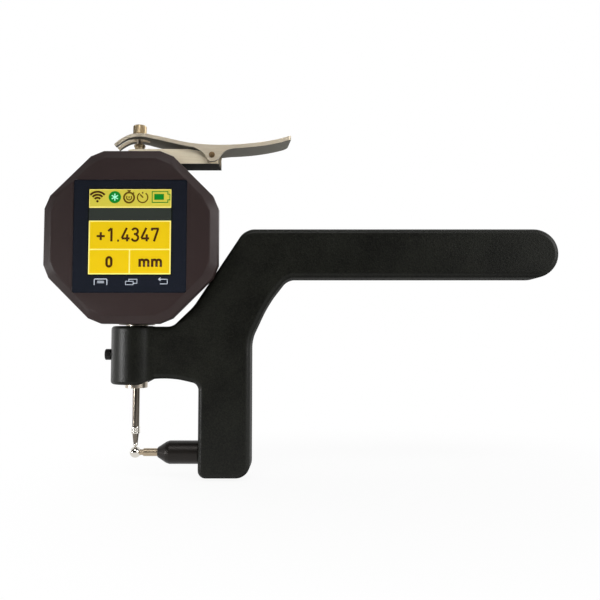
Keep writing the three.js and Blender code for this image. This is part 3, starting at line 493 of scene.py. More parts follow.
# %% File, drill and weld
def bevel(bm, edges, width, segments, clamp=False):
    """Rounds the edges over. Clamped, a rounding ends where it would meet the next one."""
    bmesh.ops.bevel(bm, geom=edges, affect="EDGES", offset=width, offset_type="OFFSET",
                    segments=segments, profile=0.5, material=-1, clamp_overlap=clamp)


def break_edges(bm, width, segments=3, sharper=30, where=lambda edge: True):
    """Rounds every edge that turns by more than sharper degrees."""
    bm.normal_update()
    edges = [edge for edge in bm.edges
             if edge.calc_face_angle(0) > radians(sharper) and where(edge)]
    bevel(bm, edges, width, segments, clamp=True)
    return bm


def as_mesh(bm, name="bench"):
    """Takes a shape off the bench as a mesh."""
    mesh = bpy.data.meshes.new(name)
    bm.to_mesh(mesh)
    bm.free()
    return mesh


# Three unlike numbers, so that two points seldom weigh the same.
WEIGHTS = Vector((1, 7.31, 53.9))


def combine(bm, tool, operation="DIFFERENCE"):
    """Cuts the tool from the solid, or joins it on. Both meshes are used up. The result is put
    in order by place, so that every run goes on from the same list."""
    pair = [put("bench", as_mesh(made)) for made in (bm, tool)]
    modifier = pair[0].modifiers.new("cut", "BOOLEAN")
    modifier.object = pair[1]
    modifier.operation = operation
    modifier.solver = "MANIFOLD"
    graph = bpy.context.evaluated_depsgraph_get()
    result = bmesh.new()
    result.from_object(pair[0], graph)
    for item in pair:
        bpy.data.objects.remove(item)
    bmesh.ops.remove_doubles(result, verts=result.verts, dist=WELD)
    result.verts.sort(key=lambda v: v.co.dot(WEIGHTS))
    result.edges.sort(key=lambda e: (e.verts[0].co + e.verts[1].co).dot(WEIGHTS))
    result.faces.sort(key=lambda f: f.calc_center_median().dot(WEIGHTS))
    return result


def joined(*shapes):
    """Several closed shapes as one mesh."""
    whole = bmesh.new()
    for shape in shapes:
        mesh = as_mesh(shape)
        whole.from_mesh(mesh)
        bpy.data.meshes.remove(mesh)
    return whole


test_rod = combine(rod(2, 0, 5), rod(1, -1, 6))
print(f"a drilled rod has {len(test_rod.faces)} faces")
test_rod.free()

# %% Mounting
def mount(name, bm, body, material, stands_for=(), sharp=32):
    """Shades the mesh, puts it in place and says which body carries it."""
    bmesh.ops.recalc_face_normals(bm, faces=bm.faces)
    for face in bm.faces:
        face.smooth = True
    for edge in bm.edges:
        edge.smooth = edge.calc_face_angle(pi) < radians(sharp)
    bmesh.ops.transform(bm, matrix=TO_PLACE, verts=bm.verts)
    mesh = as_mesh(bm, name)
    mesh.materials.append(material)
    piece = put(name, mesh)
    shading = piece.modifiers.new("even shading", "WEIGHTED_NORMAL")
    shading.keep_sharp = True
    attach(piece, body)
    if stands_for:
        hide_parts(*stands_for)
    size = tuple(round(side / MM, 2) for side in piece.dimensions)
    print(f"{name}: {size} mm, {len(mesh.polygons)} faces")
    return piece


print("the bench is ready")

# %% [markdown]
# ## The casting
#
# One casting makes the clamp boss, the arm over the throat, the leg and the long handle. It
# could be sculpted, or remeshed from blocks, but its sides are flat and its outline is made of
# straight runs and round corners, so it is sawn from a plate and its rims are rounded over.

# %% Casting outline
FRAME_FRONT, FRAME_BACK = -7, 7
THROAT_TOP, BOSS_TOP = 22.4, 43.2
BOSS_RADIUS = 9
RIM = 1.9
SAME = 0.01
ARCH = [(2.4, 22.4, 0), (5.6, 24.1, 0.622), (12, 25.2, 5.872)]
OUTLINE = [
    (-4.5, 43.0, 0), (-4.5, THROAT_TOP, 0), *ARCH,
    (23.2, 22.6, 2.066),
    (23.2, -10.4, 2.8),
    (41.6, -10.4, 5),
    (41.6, 38.5, 2.654),
    (47.6, 51.4, 4.533),
    (54.6, 60.4, 2.445),
    (151.8, 60.4, 8.75), (151.8, 77.9, 8.75),
    (39.54, 77.9, 3.237),
    (21.33, 50.17, 1.558),
    (13.9, 43.0, 1.616),
]
casting = sawn(OUTLINE, FRAME_FRONT, FRAME_BACK, steps=12)
rims = [edge for edge in casting.edges
        if abs(edge.verts[0].co.y - edge.verts[1].co.y) < SAME]
bevel(casting, rims, RIM, segments=7)
print(f"casting outline: {len(OUTLINE)} corners, {len(casting.faces)} faces with its rims")

# %% [markdown]
# ## The clamp boss
#
# The boss grips the stem of the indicator. It is round, and a hollow on each side runs it out
# into the arm. A cylinder joined to the plate would meet it in a sharp line, so the plan is
# drawn whole: one point is swung round two centres, and the line it leaves is mirrored, filled
# and raised. The arch under the arm is cut through it too. Then the holes are drilled, for the
# stem, the clamp screw, the anvil's holder and its set screw.

# %% Boss and arch
HOLLOW = 5
BOSS_RIM = 1.2
reach = BOSS_RADIUS + HOLLOW
hollow_y = FRAME_BACK + HOLLOW
hollow_x = (reach ** 2 - hollow_y ** 2) ** 0.5
lean = atan2(hollow_y, hollow_x)
boss = bmesh.new()
first = boss.verts.new((-BOSS_RADIUS, 0, THROAT_TOP))
swept = bmesh.ops.spin(boss, geom=[first], cent=(0, 0, 0), axis=(0, 0, -1),
                       angle=pi - lean, steps=60)["geom_last"]
swept = bmesh.ops.spin(boss, geom=points_of(swept), cent=(hollow_x, hollow_y, 0),
                       axis=(0, 0, 1), angle=pi / 2 - lean, steps=14)["geom_last"]
bmesh.ops.mirror(boss, geom=boss.verts[:] + boss.edges[:], axis="Y", merge_dist=0.001)
ends = [v for v in boss.verts if len(v.link_edges) == 1]
boss.edges.new(ends)
bmesh.ops.edgeloop_fill(boss, edges=boss.edges[:])
raised = bmesh.ops.extrude_face_region(boss, geom=boss.faces[:])["geom"]
bmesh.ops.translate(boss, vec=(0, 0, BOSS_TOP - THROAT_TOP), verts=points_of(raised))
bmesh.ops.recalc_face_normals(boss, faces=boss.faces)
boss_rims = [edge for edge in boss.edges
             if edge.calc_face_angle(0) > 1
             and (all(v.co.z > BOSS_TOP - SAME for v in edge.verts)
                  or all(v.co.z < THROAT_TOP + SAME for v in edge.verts))]
bevel(boss, boss_rims, BOSS_RIM, segments=5)
boss = combine(boss, sawn(ARCH + [(20, 24, 0), (20, 20, 0), (2.4, 20, 0)], -15, 15))
casting = combine(casting, boss, "UNION")
print(f"boss joined on: {len(casting.faces)} faces")

# %% Holes in the casting
FIT = 0.03
STEM_RADIUS, CLAMP_RADIUS, SPIGOT_RADIUS, SET_RADIUS = 4, 2, 3, 1.5
CLAMP_HEIGHT = 33
ANVIL_HEIGHT = -2.05
ANVIL_AXIS = (0, 0, ANVIL_HEIGHT)
SPIGOT_END = 34.7
SCREW_X = 31.3
holes = [
    rod(STEM_RADIUS + FIT, THROAT_TOP - 1, BOSS_TOP + 1),
    rod(CLAMP_RADIUS + FIT, -11, 0, turn=ALONG_AXIS_X, at=(0, 0, CLAMP_HEIGHT)),
    rod(SPIGOT_RADIUS + FIT, 22.2, SPIGOT_END + FIT, turn=ALONG_AXIS_X, at=ANVIL_AXIS),
    rod(SET_RADIUS + FIT, -12, ANVIL_HEIGHT, at=(SCREW_X, 0, 0)),
]
for hole in holes:
    casting = combine(casting, hole)
mount("frame_casting", casting, "gauge", frame_paint, ["frame"])

# %% [markdown]
# ## Softened copies of the CAD parts
#
# Many CAD parts already have the right shape but perfectly sharp edges, which no real part
# has. A copy of such a part is welded, its flat faces are made whole again, and its edges are
# broken by a tenth or two of a millimetre. The CAD part itself stays untouched and hidden.

# %% Bezel, case, stem and bracket
CAD_WELD = 0.0008
FLAT = radians(0.3)


def softened(node, width, segments=2, sharper=32, where=lambda edge: True):
    """A welded copy of a CAD part with its sharp edges broken, in millimetres."""
    bm = bmesh.new()
    bm.from_mesh(frame["nodes"][node].data)
    bmesh.ops.transform(bm, matrix=TO_PLACE.inverted(), verts=bm.verts)
    bmesh.ops.remove_doubles(bm, verts=bm.verts, dist=CAD_WELD)
    bmesh.ops.dissolve_limit(bm, angle_limit=FLAT, verts=bm.verts, edges=bm.edges)
    return break_edges(bm, width, segments, sharper, where)


MIDDLE = (bezel_low.z + bezel_high.z) / 2
WINDOW_REACH = 20.5
WINDOW_CORNER = 28


def outside_bezel(edge):
    """True for the edges of the bezel's outer form, not those of its window or its inside."""
    return all(max(abs(v.co.x), abs(v.co.z - MIDDLE)) > WINDOW_REACH
               and hypot(v.co.x, v.co.z - MIDDLE) > WINDOW_CORNER
               and v.co.y < bezel_high.y - 0.1 for v in edge.verts)


mount("bezel", softened("front_housing", 0.35, 3, 18, outside_bezel), "gauge", bezel_paint,
      ["front_housing"], sharp=40)
for node, width, material, slot in (
        ("rear_housing", 0.1, case_black, "case_black"),
        ("rear_cover", 0.15, case_black, "case_black"),
        ("stem", 0.2, steel, "steel"),
        ("bracket_nut", 0.15, nickel, "nickel"),
        ("lever_bracket", 0.15, bracket_nickel_painted_light_and_shade, "nickel")):
    mount(f"{node}_soft", softened(node, width), "gauge", material, [node])

# %% [markdown]
# ## The end of the spindle
#
# The parts around the measuring point are small and bright, so their outlines matter. All are
# lathe work: a profile from the drawing, spun. The rod screws onto the spindle, and the
# contact point has a grooved collar and a darker nose. Its ball is hard carbide, set into its
# seat, and its lowest point is the zero height.

# %% Extension rod and contact point
COLLAR_TOP = 7.1
rod_top = extent("extension_rod")[1].z
shoulder = rod_top - 3
extension = turned([
    (0, COLLAR_TOP), (0.85, COLLAR_TOP), (1.25, COLLAR_TOP), (1.25, shoulder),
    (0.85, shoulder), (0.85, rod_top), (0, rod_top)])
mount("extension_rod_fine", break_edges(extension, 0.1), "spindle", rod_steel_painted_shade,
      ["extension_rod"])
NOSE_TOP = 4.55
collar_face = COLLAR_TOP - 0.02
collar = turned([
    (0, NOSE_TOP), (1.15, NOSE_TOP), (1.55, 4.65), (1.55, 5.35), (1.4, 5.5), (1.55, 5.65),
    (1.55, 6.15), (1.4, 6.3), (1.55, 6.45), (1.55, collar_face), (0.85, collar_face),
    (0, collar_face)])
mount("contact_point_fine", break_edges(collar, 0.06, 2), "spindle", carbide,
      ["contact_point"])
nose = turned([(0, 0.9), (0.72, 0.9), (0.8, 1.3), (1.15, 4.4), (1.15, NOSE_TOP), (0, NOSE_TOP)])
mount("contact_nose", break_edges(nose, 0.06, 2), "spindle", rod_steel_painted_shade)


def bead(radius, height):
    """A ball on the measuring axis, with its middle at that height."""
    bm = bmesh.new()
    bmesh.ops.create_uvsphere(bm, u_segments=64, v_segments=40, radius=radius,
                              matrix=Matrix.Translation((0, 0, height)))
    return bm


CONTACT_RADIUS = 0.9
contact_ball = bead(CONTACT_RADIUS, CONTACT_RADIUS)
mount("contact_ball_fine", contact_ball, "spindle", carbide, ["contact_ball"],
      sharp=60)

# %% [markdown]
# ## The anvil
#
# The tube hangs on the anvil's ball and is measured between the two balls. A thin pin carries
# the ball, so that it reaches into a narrow tube, and a coned holder carries the pin. Pin and
# holder are spun about Z like the rest, then laid along X.

# %% Anvil
ANVIL_RADIUS = 2
anvil_ball = bead(ANVIL_RADIUS, ANVIL_HEIGHT)
mount("anvil_ball_fine", anvil_ball, "gauge", carbide, ["anvil_ball"], sharp=60)
pin = turned([
    (0, 1.6), (1.1, 1.7), (1.0, 2.2), (1.0, 2.6), (1.4, 3.1), (1.4, 17.8), (0, 17.8)],
    turn=ALONG_AXIS_X, at=ANVIL_AXIS)
mount("anvil_pin_fine", break_edges(pin, 0.08), "gauge", pin_steel, ["anvil_pin"])
holder = turned([
    (0, 17.85), (1.43, 17.85), (1.43, 8.1), (1.75, 8.1), (3.75, 11.2), (4.15, 12.4),
    (4.15, 22.7), (4.0, 23.2), (SPIGOT_RADIUS, 23.2), (SPIGOT_RADIUS, SPIGOT_END),
    (0, SPIGOT_END)], turn=ALONG_AXIS_X, at=ANVIL_AXIS)
mount("anvil_holder_fine", break_edges(holder, 0.25, 4, 12), "gauge", anodised,
      ["anvil_holder"])

# %% [markdown]
# ## Screws
#
# The clamp screw and the anvil's set screw are driven by a hexagon key. The socket is a
# six-sided hole: a cone with six segments makes the cutter, and it is cut from the turned
# body. The lever's pin is a riveted brass pin with domed ends.

# %% Screws and lever pin
def socket(radius, low, high, x=0):
    """A six-sided cutter for a key of that radius over the corners."""
    bm = bmesh.new()
    bmesh.ops.create_cone(bm, cap_ends=True, segments=6, radius1=radius, radius2=radius,
                          depth=high - low, matrix=Matrix.Translation((x, 0, (low + high) / 2)))
    return bm


clamp_low, clamp_high = extent("stem_clamp_screw")
CLAMP_LENGTH = clamp_high.x - clamp_low.x
clamp_screw = break_edges(turned([
    (0, 0), (CLAMP_RADIUS, 0), (CLAMP_RADIUS, CLAMP_LENGTH - 2.4), (1.75, CLAMP_LENGTH - 2.2),
    (CLAMP_RADIUS, CLAMP_LENGTH - 2), (CLAMP_RADIUS, CLAMP_LENGTH), (0, CLAMP_LENGTH)]), 0.25)
clamp_screw = combine(clamp_screw, socket(1.15, CLAMP_LENGTH - 1.6, CLAMP_LENGTH + 1))
bmesh.ops.rotate(clamp_screw, cent=(0, 0, 0), matrix=Matrix.Rotation(-pi / 2, 3, "Y"),
                 verts=clamp_screw.verts)
bmesh.ops.translate(clamp_screw, vec=(clamp_high.x, 0, CLAMP_HEIGHT), verts=clamp_screw.verts)
mount("stem_clamp_screw_fine", clamp_screw, "gauge", black_steel,
      ["stem_clamp_screw"])

set_low, set_high = extent("anvil_set_screw")
set_screw = break_edges(rod(SET_RADIUS, set_low.z, set_high.z, at=(SCREW_X, 0, 0)), 0.3)
hexagon = socket(0.9, set_low.z - 1, set_low.z + 1.6, SCREW_X)
mount("anvil_set_screw_fine", combine(set_screw, hexagon), "gauge", black_steel,
      ["anvil_set_screw"])

pin_low, pin_high = extent("lever_pin")
PIVOT = (pin_low + pin_high) / 2
PIN_RADIUS = 0.8
HEAD = 1.1
half_pin = [(HEAD, 0.25), (HEAD - 0.1, 0.1), (0.35, 0)]
lever_pin = turned([
    (0, pin_low.y), *((radius, pin_low.y + inset) for radius, inset in reversed(half_pin)),
    (PIN_RADIUS, pin_low.y + 0.25), (PIN_RADIUS, pin_high.y - 0.25),
    *((radius, pin_high.y - inset) for radius, inset in half_pin), (0, pin_high.y)],
    turn=ALONG_AXIS_Y, at=(PIVOT.x, 0, PIVOT.z))
mount("lever_pin_fine", lever_pin, "gauge", pin_brass, ["lever_pin"])
for name in ("upper_left", "upper_right", "lower_left", "lower_right"):
    node = f"cover_screw_{name}"
    mount(f"{node}_soft", softened(node, 0.12), "gauge", black_steel, [node])

# %% [markdown]
# ## The lifting lever
#
# The lever is a curved plate with two ears bent down to its pin, and its left end is a fork that
# lifts the cap. Two outlines make it: the curve seen from the side, and the plan seen from
# above, whose prongs taper to thin tips. What lies in both outlines is the plate. The ears are
# plates of their own that are joined on, and the hole for the pin is drilled through both.

# %% Lifting lever
LEVER_HALF = 6.5
EAR = 1.2
LEVER_WELD = 0.03
LEVER_EDGE = 0.08
FOLD = radians(40)
lever = sawn([
    (-36.3, 4.9, 0), (-32.6, 7.8, 2.9), (-27.5, 8.72, 3.3), (7.5, 0.69, 19.6), (28.9, 7.53, 0),
    (29.35, 6.13, 0), (7.56, -0.86, 19.9), (-27.48, 7.38, 3.1), (-31.99, 6.53, 2.6),
    (-35.5, 3.87, 0)], -LEVER_HALF, LEVER_HALF, steps=20)
plan = sawn([
    (-36.4, 2.9, 0.7), (-31, 3.7, 1.5), (-24, 6.1, 2), (-19, LEVER_HALF, 2),
    (14, LEVER_HALF, 0), (28.6, 5.4, 0.9), (26.9, -5.2, 1.7), (5.6, -5.2, 0.77),
    (2.2, -LEVER_HALF, 0.77), (-19, -LEVER_HALF, 2), (-24, -6.1, 2), (-31, -3.7, 1.5),
    (-36.4, -2.9, 0.7), (-36.4, -1.7, 0.4), (-23.7, -1.7, 1.65), (-23.7, 1.7, 1.65),
    (-36.4, 1.7, 0.4)], -12, 20)
bmesh.ops.rotate(plan, cent=(0, 0, 0), matrix=Matrix.Rotation(pi / 2, 3, "X"), verts=plan.verts)
lever = combine(lever, plan, "INTERSECT")
EAR_LEFT = [(0, 2.5, 0), (-9, 3.95, 0), (-2.6, 0.75, 2.3), (-1.3, -2.3, 0.9), (1.6, -2.3, 1)]
front_ear = sawn([*EAR_LEFT, (4.5, 1.55, 1.7), (9.5, 2.6, 0)], -LEVER_HALF, EAR - LEVER_HALF)
back_ear = sawn([*EAR_LEFT, (2.2, 2.5, 0)], LEVER_HALF - EAR, LEVER_HALF)
for ear in (front_ear, back_ear):
    lever = combine(lever, ear, "UNION")
lever = combine(lever, rod(PIN_RADIUS + 2 * FIT, -8, 8, turn=ALONG_AXIS_Y))
bmesh.ops.dissolve_limit(lever, angle_limit=FLAT, verts=lever.verts, edges=lever.edges)
bmesh.ops.remove_doubles(lever, verts=lever.verts, dist=LEVER_WELD)
lever.normal_update()
folds = [edge for edge in lever.edges if edge.calc_face_angle(0) > FOLD]
bevel(lever, folds, LEVER_EDGE, segments=2)
bmesh.ops.translate(lever, vec=PIVOT, verts=lever.verts)
mount("lift_lever_fine", lever, "lever", nickel, ["lift_lever"])

# %% [markdown]
# ## The neck
#
# The spindle leaves the case through a neck. Its thread holds the lever's bracket down under a
# nut, and above the nut it is turned down to a slim collar, so the fork can straddle it. It is
# one profile, with the bore in it, so the spindle really runs through.

# %% Neck
FLANGE, THREAD, SLIM, LIP, BORE = 4.6, 2.8, 1.75, 2.05, 1.15
neck_low, neck_high = (corner.z for corner in extent("upper_bush"))
neck = turned([
    (BORE, neck_low), (FLANGE, neck_low), (FLANGE, neck_low + 1.5), (THREAD, neck_low + 1.5),
    (THREAD, neck_high - 4.2), (SLIM, neck_high - 3.2), (SLIM, neck_high - 1),
    (LIP, neck_high - 0.85), (LIP, neck_high - 0.2), (LIP - 0.2, neck_high),
    (BORE, neck_high), (BORE, neck_low)])
mount("neck_fine", break_edges(neck, 0.1), "gauge", cap_metal, ["upper_bush"])

# %% [markdown]
# ## The knurled cap
#
# The lever lifts the spindle by this cap, and fingers can lift it too, so its side is knurled
# with straight ridges. The cap is turned first, with enough steps for four to a ridge. Then
# every point on its side is drawn in or out by its angle, which keeps the mesh one closed
# solid and gives real ridges that catch the light. It starts a little over the fork, which
# swings round as it lifts and needs that room.

# %% Knurled cap
cap_low, cap_high = extent("lifting_cap")
CAP_RADIUS = 2.45
RIDGES = 30
KNURL = (0, 0.09, 0.18, 0.09)
BAND = 0.45
FORK_ROOM = 1.32
CEILING = 1
bottom, top = cap_low.z + FORK_ROOM, cap_high.z
cap = turned([
    (1.13, bottom), (CAP_RADIUS - 0.3, bottom), (CAP_RADIUS, bottom + 0.3),
    (CAP_RADIUS, bottom + BAND), (CAP_RADIUS, bottom + 1.6), (CAP_RADIUS, top - 1.6),
    (CAP_RADIUS, top - BAND), (CAP_RADIUS - 0.1, top - 0.2), (CAP_RADIUS - 0.35, top),
    (0.9, top - 0.05), (0.5, top - 0.25), (0, top - 0.3)], steps=RIDGES * 4)
bore = bmesh.ops.extrude_edge_only(cap, edges=[e for e in cap.edges if e.is_boundary])["geom"]
bmesh.ops.translate(cap, vec=(0, 0, top - CEILING - bottom), verts=points_of(bore))
bmesh.ops.holes_fill(cap, edges=[e for e in cap.edges if e.is_boundary], sides=0)
for v in cap.verts:
    if abs(hypot(v.co.x, v.co.y) - CAP_RADIUS) < SAME:
        step = round(atan2(v.co.y, v.co.x) * RIDGES * 2 / pi) % 4
        inset = KNURL[step] / CAP_RADIUS
        v.co.x -= v.co.x * inset
        v.co.y -= v.co.y * inset
mount("lifting_cap_fine", cap, "spindle", cap_metal, ["lifting_cap"])

# %% [markdown]
# ## The return spring
#
# A coil spring inside the case presses the contact on the anvil. A small circle spun round the
# axis while it climbs makes the coil. When the lever lifts the spindle the spring is squeezed;
# the spindle's travel is read from its joint, but the coil keeps its wound shape.

# %% Return spring
spring_low, spring_high = extent("return_spring")
WIRE = 0.25
TURNS = 9
COIL = 3
free_length = spring_high.z - spring_low.z
wire = bmesh.new()
bmesh.ops.create_circle(wire, segments=10, radius=WIRE, cap_ends=True,
                        matrix=Matrix.Translation((COIL, 0, spring_low.z + WIRE))
                        @ Matrix.Rotation(pi / 2, 4, "X"))
coil_steps = TURNS * 32
bmesh.ops.spin(wire, geom=wire.faces[:], cent=(0, 0, 0), axis=(0, 0, 1),
               dvec=(0, 0, (free_length - 2 * WIRE) / coil_steps), angle=2 * pi * TURNS,
               steps=coil_steps, use_merge=False)
return_spring = mount("return_spring_wound", wire, "gauge", steel, ["return_spring"])
slide = next(joint for joint in frame["joints"] if joint["name"] == "spindle_slide")
travel = slide["range_m"][1] / MM
1 - travel / free_length
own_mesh(return_spring)
print(f"spring of {free_length:.1f} mm gives way by {travel} mm")

# %% [markdown]
# ## The window and its lit fields
#
# Behind the bezel lies a tinted window with the lit fields, the digits and three touch symbols.
# A picture would be the quick way, but drawn shapes stay sharp at any distance. Each field is
# a thin plate with rounded corners, and fields that overlap lie on layers of their own. Nothing
# stands out of the bezel.

# %% Window
glass_low, glass_high = extent("display_glass")
SET_BACK = 0.2
GLASS_FACE = glass_low.y + SET_BACK
GLASS_CORNER = 0.8


def rounded(left, right, bottom, top, corner):
    """The corners of an upright field for the saw."""
    return [(left, bottom, corner), (right, bottom, corner), (right, top, corner),
            (left, top, corner)]


window = sawn(rounded(glass_low.x, glass_high.x, glass_low.z, glass_high.z, GLASS_CORNER),
              GLASS_FACE, glass_high.y)
mount("window", break_edges(window, 0.12, 3, 60), "gauge", window_glass,
      ["display_glass"])

# %% Lit fields
LAYER = 0.03
SUNK = 0.02
FIELD_CORNER = 0.12


def plates(name, layer, material, fields):
    """Thin plates, each (left, right, bottom, top), on one layer over the window."""
    shapes = [sawn(rounded(*field, FIELD_CORNER), GLASS_FACE - layer * LAYER,
                   GLASS_FACE + SUNK, steps=3) for field in fields]
    return mount(name, joined(*shapes), "gauge", material)


LEFT, RIGHT = -14.3, 14.3
HEAD_TOP, HEAD_LOW = 90.75, 84.2
MAIN_TOP, MAIN_LOW = 79.7, 60.9
DIVIDER = 69.6
LINE = 0.42
BORDER = 0.45
plates("screen_border", 1, screen_black,
       [(LEFT - BORDER, RIGHT + BORDER, MAIN_LOW - BORDER, HEAD_TOP + BORDER)])
plates("screen_field", 2, screen_dark, [(LEFT, RIGHT, MAIN_TOP + 0.1, HEAD_LOW - 0.1)])
plates("screen_lines", 3, screen_pale,
       [(LEFT, RIGHT, MAIN_LOW, MAIN_TOP), (LEFT, RIGHT, HEAD_LOW, HEAD_TOP)])
plates("screen_heading", 4, screen_header,
       [(LEFT + 0.2, RIGHT - 0.2, HEAD_LOW + LINE, HEAD_TOP - 0.2)])
plates("screen_readings", 4, screen_yellow, [
    (LEFT + LINE, RIGHT - LINE, DIVIDER + LINE / 2, MAIN_TOP - LINE),
    (LEFT + LINE, -LINE / 2, MAIN_LOW + LINE, DIVIDER - LINE / 2),
    (LINE / 2, RIGHT - LINE, MAIN_LOW + LINE, DIVIDER - LINE / 2)])

# %% [markdown]
# ## Digits drawn with a pen
#
# The figures are made of strokes of one width. A font would bring letter shapes of its own, so
# they are drawn as a pen would: each stroke is a curve with a round section, made a mesh and
# pressed flat on the fields.

# %% Strokes
def arc(x, z, radius, start, end, steps=16, tall=1):
    """Points on an arc, with its angles in degrees from the right, anticlockwise."""
    angles = [radians(start + (end - start) * i / steps) for i in range(steps + 1)]
    return [(x + radius * cos(a), z + radius * tall * sin(a)) for a in angles]


APART = 3
STACK = 0.0015
ROUND_EDGE = 0.08


def strokes(name, layer, material, drawn):
    """Flat pen strokes. Each is (width, points in X and Z). They are drawn apart along Y and
    pressed flat one by one, each a hair over the last, so that crossing strokes don't flicker."""
    curve = bpy.data.curves.new(name, "CURVE")
    curve.dimensions = "3D"
    curve.bevel_depth = 0.5
    curve.bevel_resolution = 3
    curve.use_fill_caps = True
    for number, (width, points) in enumerate(drawn):
        closed = hypot(points[0][0] - points[-1][0], points[0][1] - points[-1][1]) < 0.001
        points = points[:-1] if closed else points
        spline = curve.splines.new("POLY")
        spline.points.add(len(points) - 1)
        spline.use_cyclic_u = closed
        for point, (x, z) in zip(spline.points, points):
            point.co = (x, number * APART, z, 1)
            point.radius = width
    pen = put(name, curve)
    inked = bpy.data.meshes.new_from_object(
        pen.evaluated_get(bpy.context.evaluated_depsgraph_get()))
    bm = bmesh.new()
    bm.from_mesh(inked)
    bpy.data.objects.remove(pen)
    bmesh.ops.remove_doubles(bm, verts=bm.verts, dist=WELD)
    front = GLASS_FACE - layer * LAYER
    for v in bm.verts:
        number = round(v.co.y / APART)
        press = max(-1, min(1, (v.co.y - number * APART) / ROUND_EDGE))
        v.co.y = front + (1 + press) * LAYER / 2 - number * STACK
    return mount(name, bm, "gauge", material, sharp=80)


print(f"strokes are pressed to {LAYER} mm, each {STACK} mm over the last")

# %% Digits
def four(x, z, high, wide):
    """A four: slanting stroke, cross bar and short upright."""
    return [[(x + wide * 0.62, z + high), (x, z + high * 0.24)],
            [(x - 0.02, z + high * 0.22), (x + wide, z + high * 0.22)],
            [(x + wide * 0.68, z + high * 0.52), (x + wide * 0.68, z)]]


DIGIT_LOW, DIGIT_HIGH = 72.4, 77.15
TALL = DIGIT_HIGH - DIGIT_LOW
PEN = 0.78
reading = [
    [(-11.5, 74.25), (-8.65, 74.25)], [(-10.07, 72.85), (-10.07, 75.65)],
    [(-6.36, DIGIT_LOW), (-6.36, DIGIT_HIGH - 0.1)], [(-7.5, 76.0), (-6.4, 77.0)],
    [(-4.32, 72.68), (-3.72, 72.68)],
    *four(-2.75, DIGIT_LOW, TALL, 2.75),
    arc(1.82, 75.93, 1.0, 160, -70), [(1.45, 75.0), (2.1, 75.0)],
    arc(1.82, 73.72, 1.13, 75, -165),
    *four(4.05, DIGIT_LOW, TALL, 2.75),
    [(7.55, 76.85), (10.1, 76.85)], [(7.75, 77.1), (7.75, 76.15)],
    [(9.9, 76.9), (8.45, DIGIT_LOW)],
]
strokes("reading_digits", 5, screen_brown, [(PEN, line) for line in reading])

# %% Zero and unit
SMALL_PEN = 0.88


def letter_m(x):
    """A small m: three uprights under two arches."""
    arches = [arc(x + 1.1 + shift, 65.35, 0.75, 170, 0, tall=0.85)
              + [(x + 1.85 + shift, 63.5)] for shift in (0, 1.5)]
    return [[(x + 0.35, 63.5), (x + 0.35, 66.3)], *arches]


lower = [arc(-7.07, 65.9, 0.82, 0, 180, tall=1.15) + arc(-7.07, 64.6, 0.82, 180, 360, tall=1.15)
         + [(-6.25, 65.9)], *letter_m(3.25), *letter_m(7.6)]
strokes("unit_and_zero", 5, screen_brown, [(SMALL_PEN, line) for line in lower])

# %% [markdown]
# ## Status icons and touch symbols
#
# The heading carries small generic signs: signal arcs, a green round button with a plain star,
# a stopwatch, a timer and a battery. Under the fields are three grey touch symbols, for the
# menu, the windows and the way back. None of them is anyone's mark.

# %% Icons
ICON_Z = 87.95
SIGNAL_X, BUTTON_X, WATCH_X, TIMER_X = -11.45, -5.38, -0.42, 4.3
signal = [(0.74, arc(SIGNAL_X, 86.45, radius, 42, 138)) for radius in (1.3, 2.35, 3.4)]
signal.append((0.62, arc(SIGNAL_X, 86.5, 0.14, 0, 360, 8)))
timer = [(0.46, arc(TIMER_X, ICON_Z - 0.1, 1.8, 55, -235, 30)),
         (0.5, [(3.4, 88.9), (4.5, 87.8)]), (0.46, [(TIMER_X, 89.2), (TIMER_X, 89.8)])]
stopwatch = [(0.66, arc(WATCH_X, ICON_Z - 0.15, 1.78, 0, 360, 32)),
             (0.6, [(WATCH_X, 89.7), (WATCH_X, 90.2)]), (0.5, [(-1.0, 90.25), (0.16, 90.25)]),
             (0.42, arc(WATCH_X, ICON_Z - 0.15, 0.86, 140, 400, 16)),
             (0.4, [(WATCH_X, 88.3), (WATCH_X, 87.5)]), (0.5, [(1.0, 89.3), (1.3, 89.6)])]
strokes("signal_arcs", 5, screen_brown, signal)
strokes("clocks", 5, screen_olive, timer + stopwatch)

# %% Button and battery sign
BUTTON_RADIUS, STAR_REACH = 2.15, 1.25
button = rod(BUTTON_RADIUS, GLASS_FACE - 5 * LAYER, GLASS_FACE, steps=48, turn=ALONG_AXIS_Y,
             at=(BUTTON_X, 0, ICON_Z))
mount("green_button", button, "gauge", screen_green)
star = [(0.42, [(BUTTON_X + reach * cos(a), ICON_Z + reach * sin(a))
                for reach in (STAR_REACH, -STAR_REACH)])
        for a in (radians(30), radians(90), radians(150))]
strokes("button_star", 6, screen_mint, star)
battery_case = [(0.46, [(7.65, 86.1), (7.65, 89.9), (13.1, 89.9), (13.1, 89.0), (13.85, 89.0),
                       (13.85, 87.0), (13.1, 87.0), (13.1, 86.1), (7.65, 86.1)])]
strokes("battery_outline", 5, screen_green, battery_case)
plates("battery_level", 5, screen_green, [(8.35, 11.75, 87.0, 89.1)])

